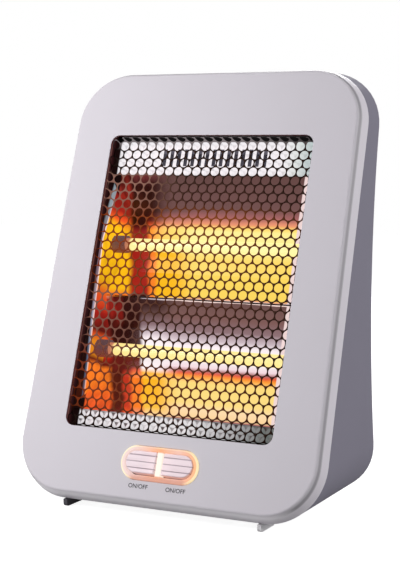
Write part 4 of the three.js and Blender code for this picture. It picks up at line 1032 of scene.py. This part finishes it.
# ---- Finishes of the pieces that keep their solids ----
def smooth_group():
    """Welds a solid's split corners and shades it smooth, apart from its sharp edges."""
    tree = bpy.data.node_groups.new("smooth_by_angle", "GeometryNodeTree")
    tree.interface.new_socket("Geometry", in_out="INPUT", socket_type="NodeSocketGeometry")
    tree.interface.new_socket("Geometry", in_out="OUTPUT", socket_type="NodeSocketGeometry")
    nodes = Nodes(tree, "")
    solid = nodes.add("NodeGroupInput", {}).outputs[0]
    solid = nodes.add("GeometryNodeMergeByDistance", {"Geometry": solid, "Distance": 0.00001})
    faces = nodes.add("GeometryNodeSetShadeSmooth", {"Geometry": solid.outputs[0]})
    angle = nodes.add("GeometryNodeInputMeshEdgeAngle", {}).outputs["Unsigned Angle"]
    flat = nodes.add("FunctionNodeCompare", {0: angle, 1: math.radians(35)},
                     data_type="FLOAT", operation="LESS_THAN").outputs["Result"]
    edges = nodes.add("GeometryNodeSetShadeSmooth", {
        "Geometry": faces.outputs[0], "Shade Smooth": flat}, domain="EDGE")
    nodes.add("NodeGroupOutput", {0: edges.outputs[0]})
    return tree


# Each node takes the finish of its own name, or of the first of these in its name.
finishes = {
    "upper_reflector": upper_glow,
    "lower_reflector": lower_glow,
    "left_end_plate": left_plate_glow,
    "right_end_plate": right_plate_glow,
    "quartz_tube": tube_material(),
    "ceramic_cap": cap_material(),
    "tube_clip": metal("clip_steel", (190, 188, 186), 0.28),
    "heat_shield": metal("shield_steel", (165, 165, 168), 0.4, stretch=(1, 1, 8)),
    "thermal_cutout": plastic("cutout_plastic", (40, 38, 40), 0.5),
    "switch_body": plastic("switch_plastic", (42, 42, 46), 0.5),
    "neon_lamp": glowing("lamp_glow", (255, 140, 60), 1.2),
    "screw": metal("screw_steel", (175, 176, 180), 0.32, scale=900),
    "tip_over_spring": metal("spring_steel", (150, 150, 155), 0.25, scale=900),
    "tip_over_plunger": plastic("plunger_plastic", (36, 36, 40), 0.45),
    "tip_over_switch": plastic("cream_plastic", (228, 221, 206), 0.5),
    "terminal_block": plastic("block_plastic", (226, 220, 208), 0.45),
    "cord_inlet_bush": plastic("inlet_rubber", (42, 42, 45), 0.8, grain=500, depth=0.3),
    "wire": plastic("wire_sleeve", (214, 206, 190), 0.8, grain=900, depth=0.5),
    # Painted shade: a dark copy of the feet's pale plastic, where the left foot lies in shade.
    "left_foot": plastic("left_foot_shaded_plastic", (84, 82, 87), 0.7, specular=0.1),
    # Painted light: the same plastic made lighter, where the right foot is lit.
    "right_foot": plastic("right_foot_lit_plastic", (226, 224, 226), 0.5),
}
smoothing = smooth_group()
for name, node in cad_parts.items():
    if node.hide_render:
        continue
    key = name if name in finishes else next(part for part in finishes if part in name)
    node.data.materials.clear()
    node.data.materials.append(finishes[key])
    modifier = node.modifiers.new("smooth", "NODES")
    modifier.node_group = smoothing


# ---- Floor, light and background ----
FLOOR_SIDE, FLOOR_DROP = 3, 0.0002      # metres, from the middle to a side and below the feet


def shown(nodes):
    """1 for the rays that show the background: straight ones and those off gloss or through glass."""
    path = nodes.add("LightPath", {}).outputs
    straight = nodes.number("MAXIMUM", path["Is Camera Ray"], path["Is Glossy Ray"])
    return nodes.number("MAXIMUM", straight, path["Is Transmission Ray"])


def floor():
    mesh = bpy.data.meshes.new("floor")
    mesh.from_pydata([(x * FLOOR_SIDE, y * FLOOR_SIDE, -FLOOR_DROP)
                      for x, y in ((-1, -1), (1, -1), (1, 1), (-1, 1))], [], [(0, 1, 2, 3)])
    thing = place_object("floor", mesh)
    shader = Shader("floor_white")
    shader.set(base_color=(0.4, 0.4, 0.4, 1), roughness=0.9, emission_color=(1, 1, 1, 1),
               emission_strength=shader.spread(shown(shader), 0, 0.92),
               specular_ior_level=0.0)
    mesh.materials.append(shader.material)


def light(name, place, aim, size, watts):
    data = bpy.data.lights.new(name, "AREA")
    data.shape, data.size, data.energy = "DISK", size, watts
    lamp = place_object(name, data)
    lamp.location = place
    lamp.rotation_euler = (Vector(aim) - Vector(place)).to_track_quat("-Z", "Y").to_euler()


def surroundings():
    """A soft grey that lights the object, and the white that the background shows."""
    world = bpy.data.worlds.new("studio")
    bpy.context.scene.world = world
    world.use_nodes = True
    nodes = Nodes(world.node_tree)
    nodes.tree.nodes.clear()
    soft = nodes.add("Background", {"Color": (0.93, 0.93, 1.0, 1), "Strength": 0.25})
    white = nodes.add("Background", {"Color": (1, 1, 1, 1)})
    mix = nodes.add("MixShader", {0: shown(nodes), 1: soft.outputs[0], 2: white.outputs[0]})
    nodes.add("OutputWorld", {"Surface": mix.outputs[0]})


floor()
surroundings()
light("key", (-0.6, -0.6, 0.6), (-0.04, 0, 0.2), 0.6, 7)
light("low", (-0.75, -1.1, 0.15), (0, -0.05, 0.12), 0.5, 2.2)
light("side", (1.65, 0.2, 0.78), (0.1, 0, 0.16), 0.7, 17)
light("rear", (-0.3, 1.5, 0.8), (0, 0.07, 0.15), 0.8, 16)
bpy.context.scene.view_settings.view_transform = "Standard"
